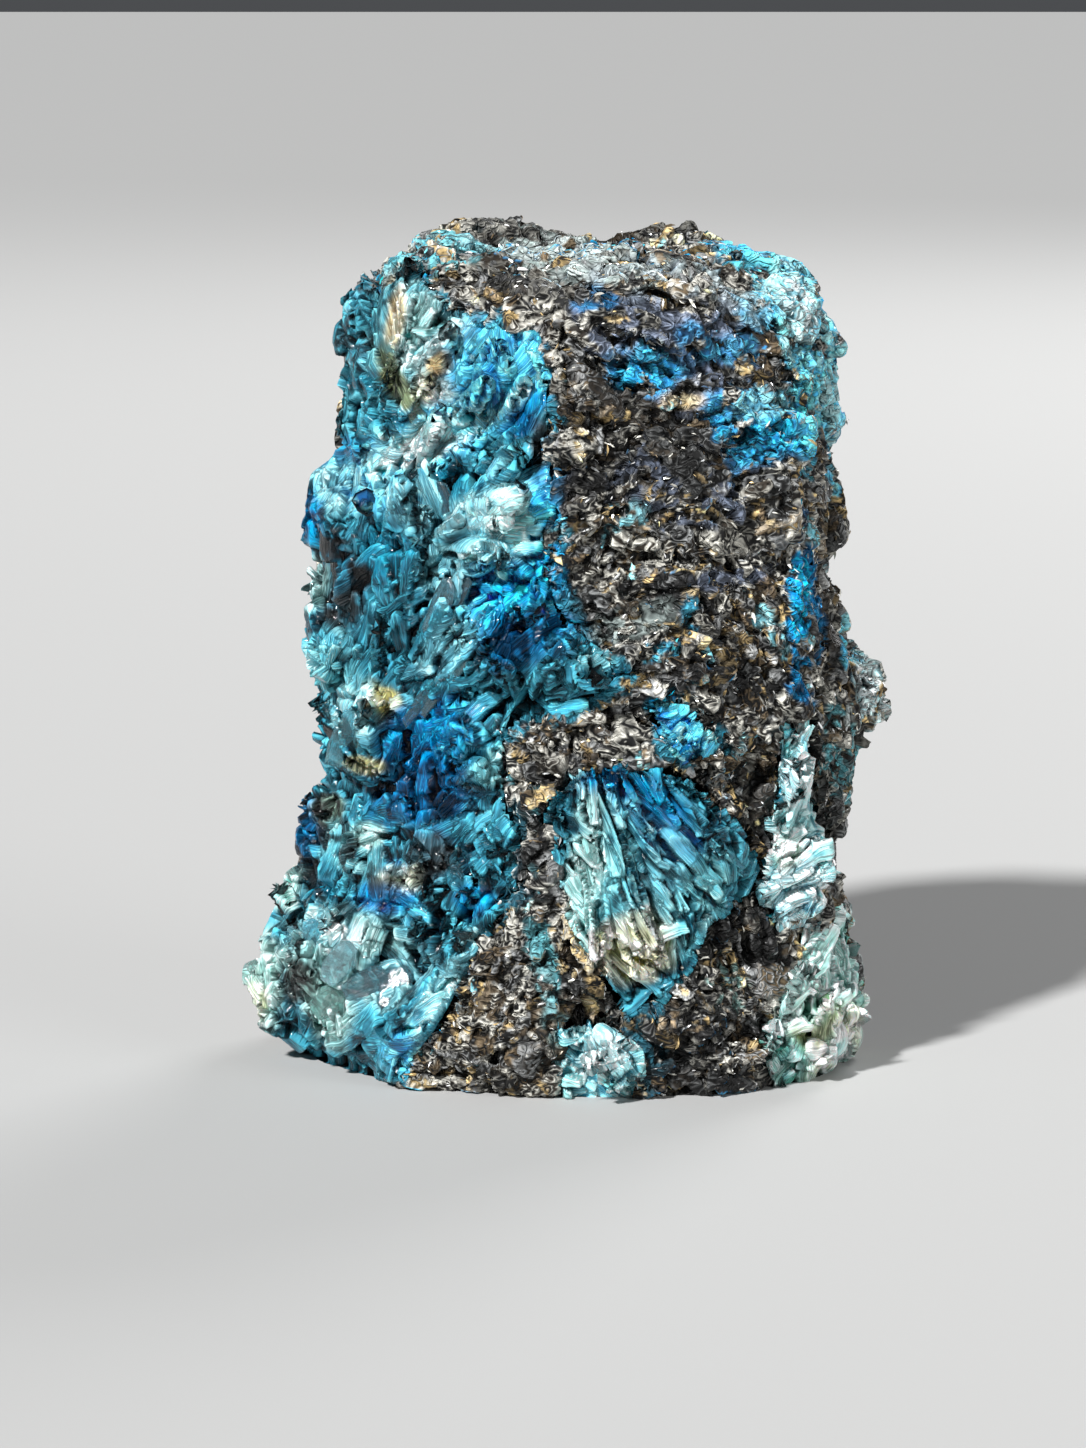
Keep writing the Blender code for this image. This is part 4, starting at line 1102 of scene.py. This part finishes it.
def add_sun(name, turn, rise, spread, strength):
    """A far round light. Turn is the angle from straight in front, to the left; rise is its height."""
    light = bpy.data.lights.new(name, "SUN")
    light.angle = math.radians(spread)
    light.energy = strength
    obj = bpy.data.objects.new(name, light)
    obj.rotation_euler = (math.radians(90 - rise), 0, math.radians(-turn))
    bpy.context.scene.collection.objects.link(obj)


def add_stage():
    scene = bpy.context.scene
    corners = np.array(((-1, -1, 0), (1, -1, 0), (1, 1, 0), (-1, 1, 0))) * 60000.0
    floor = mesh_object("floor", corners, np.array(((0, 1, 2, 3),)))
    floor.data.materials.append(floor_material())
    add_sun("key", 35, 40, 5, 5.6)
    add_light("fill", (1.2, -0.9, 0.5), 0.9, 8.0)
    add_light("rim", (0.6, 1.0, 0.9), 0.6, 9.0)
    world = bpy.data.worlds.new("Studio")
    world.use_nodes = True
    world.node_tree.nodes["Background"].inputs["Color"].default_value = (0.9, 0.94, 1.0, 1)
    world.node_tree.nodes["Background"].inputs["Strength"].default_value = 0.08
    scene.world = world
    scene.view_settings.view_transform = "Standard"
    camera = bpy.data.cameras.new("Camera")
    camera.lens = 113
    camera.sensor_width = 36
    eye = bpy.data.objects.new("Camera", camera)
    eye.location = VIEW_FROM * MM
    eye.rotation_euler = (math.pi / 2 - VIEW_TILT, 0, 0)
    scene.collection.objects.link(eye)
    scene.camera = eye


# The whole specimen

def add_piece(name, part, material, nodes=(), smooth=False):
    piece = mesh_object(name, *part, smooth)
    piece.data.materials.append(material)
    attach(piece, "root")
    if nodes:
        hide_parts(*nodes)


def only(part, chosen):
    """Some of the faces of a part, with the values of their points."""
    used, numbered = np.unique(part[1][chosen], return_inverse=True)
    return (part[0][used], numbered.reshape(-1, 4), *[layer[used] for layer in part[2:]])


def add_halves(name, part, material, nodes=()):
    """A large surface as an upper and a lower piece."""
    upper = part[0][part[1], 2].mean(axis=1) > HALF_HEIGHT
    add_piece(name + "_upper", only(part, upper), material, nodes, smooth=True)
    add_piece(name + "_lower", only(part, ~upper), material, (), smooth=True)


def build_rock(skin, crystal_tree, blue_tree, rng):
    """The rock: flaky, fine in front and coarser behind, with slivers and crusts on it."""
    skin = rough_rock(without_hidden_faces(skin, crystal_tree, 6))
    facing = facing_view(skin.points, skin.normals)[skin.quads].max(axis=1)
    skin = finer(skin, facing > 0.05)
    above = (skin.points[:, 2] > 0.5) * 1.0
    ahead = above * (facing_view(skin.points, skin.normals) > 0.05)
    large = blades_of(skin, above, ROCK_FLAKES, ROCK_GRAIN, rng)
    small = blades_of(skin, ahead, ROCK_CHIPS, ROCK_GRAIN, rng)
    flakes = Blades(*[np.concatenate(column) for column in zip(large, small)])
    skin, reach, owner, grain = stepped(skin, flakes, 0.35)
    count = len(flakes.places)
    stain, cover = crusts(skin.points, skin.normals, blue_tree)
    lot = np.append(rng.random(count), 0.9)[owner]
    stained = smooth_step(-0.1, 0.1, cover * 1.15 - lot)
    tints = np.vstack((flake_colours(count, rng), ROCK))[owner]
    tints = blended(tints, stain * np.append(rng.uniform(0.2, 1.5, count), 0.2)[owner][:, None], stained)
    broad = height_above(skin, 14)
    # Painted shade: flake colours are darkened in the hollows of the rock.
    tints = blended(tints, tints * 0.1, smooth_step(0.1, -0.3, broad))
    # Painted highlight: a light band near the edge of each flake on the raised parts.
    tints = blended(tints, lightened(tints, 2.0), 0.6 * np.exp(-((reach - 0.72) / 0.14) ** 2) * smooth_step(-0.1, 0.2, broad))
    curly = np.array(CURL_COLOURS)[rng.choice(len(CURL_COLOURS), count + 1, p=CURL_SHARES)][owner]
    pale = blended(curly, lightened(stain, 4.0), stained)
    # Painted shade: the pale line colours are darkened in the same hollows.
    pale = blended(pale, pale * 0.08, smooth_step(0.1, -0.3, broad))
    quiet = noise(skin.points, 6, 33) + 0.6 * noise(skin.points, 2.0, 34)
    pale = blended(pale, tints, 0.75 * smooth_step(-0.1, 0.4, quiet) * (1 - 0.7 * stained))
    part = (skin.points, skin.quads, np.clip(tints, 0, 0.9), np.clip(pale, 0, 0.9), grain, reach[:, None])
    facing = facing_view(skin.points, skin.normals)[skin.quads].max(axis=1)
    rock = rock_material()
    add_halves("rock_front", only(part, facing > 0.05), rock, ("matrix_rock",))
    add_piece("rock_behind", only(part, facing <= 0.05), rock, (), smooth=True)
    glint = curl_material()
    add_piece("rock_curls_front", curls(skin, 3500, ahead, 0.6, blue_tree, rng), glint)
    add_piece("rock_curls_behind", curls(skin, 3000, above - ahead, 0.8, blue_tree, rng), glint)


def build(frame):
    rng = np.random.default_rng(SEED)
    nodes = frame["nodes"]
    rock = remeshed(nodes["matrix_rock"].data.copy(), 0.47, 5)
    rock_tree = tree_of((rock,))
    fine = {name: remeshed(node.data.copy(), 0.35 if name == "blue_crystal_vein" else 0.30, 1)
            for name, node in nodes.items() if name != "matrix_rock"}
    build_rock(rock, tree_of(fine.values()), tree_of((fine["blue_crystal_vein"], fine["blue_wedge"])), rng)
    blue = crystal_material("blue_selenite", 0.08, 0.25, (0.5, 6, 6), 0.85)
    silky = crystal_material("teal_selenite", 0.12, 0.3, (0.25, 7, 7), 0.5)
    pale = crystal_material("pale_selenite", 0.16, 0.3, (0.4, 5, 5), 0.8)
    masses = (
        ("vein_crystals", "blue_crystal_vein", VEIN_GROWTH, TEAL, CRYSTAL_TINTS, 0.6, blue, "blue_selenite"),
        ("fan_fibres", "crystal_fan", FAN_GROWTH, TEAL, FAN_TINTS, 0.3, silky, "teal_selenite"),
        ("wedge_crystals", "blue_wedge", WEDGE_GROWTH, SKY, SMALL_TINTS, 0.4, silky, "blue_selenite"),
        ("seam_crystals_grown", "seam_crystals", SEAM_GROWTH, ICE, SMALL_TINTS, 0.4, pale, "pale_selenite"),
        ("corner_crystals_grown", "corner_crystals", CORNER_GROWTH, MINT, SMALL_TINTS, 0.4, pale, "pale_selenite"),
        ("leaf_crystals", "base_crystals", LEAF_GROWTH, ICE, SMALL_TINTS, 0.4, pale, "pale_selenite"),
    )
    for name, node, growths, ground, tints, hollow, material, slot in masses:
        skin = without_hidden_faces(fine[node], rock_tree)
        skin = finer(skin, np.full(len(skin.quads), True))
        part = crystal_mass(skin, growths, ground, tints, hollow, rng)
        if len(part[1]) > 95000:
            add_halves(name, part, material, (node,))
        else:
            add_piece(name, part, material, (node,), smooth=True)
    plates = clear_plates(tree_of((fine["blue_crystal_vein"],)), rng)
    add_piece("clear_plates", plates, clear_material("clear_selenite", 0.9))


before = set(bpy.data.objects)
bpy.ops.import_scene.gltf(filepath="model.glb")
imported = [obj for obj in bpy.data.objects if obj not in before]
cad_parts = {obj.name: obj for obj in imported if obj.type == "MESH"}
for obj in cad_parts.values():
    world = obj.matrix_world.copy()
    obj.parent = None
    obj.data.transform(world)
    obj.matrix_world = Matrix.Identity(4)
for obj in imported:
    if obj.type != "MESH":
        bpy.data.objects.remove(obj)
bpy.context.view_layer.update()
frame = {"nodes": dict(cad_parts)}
build(frame)
add_stage()
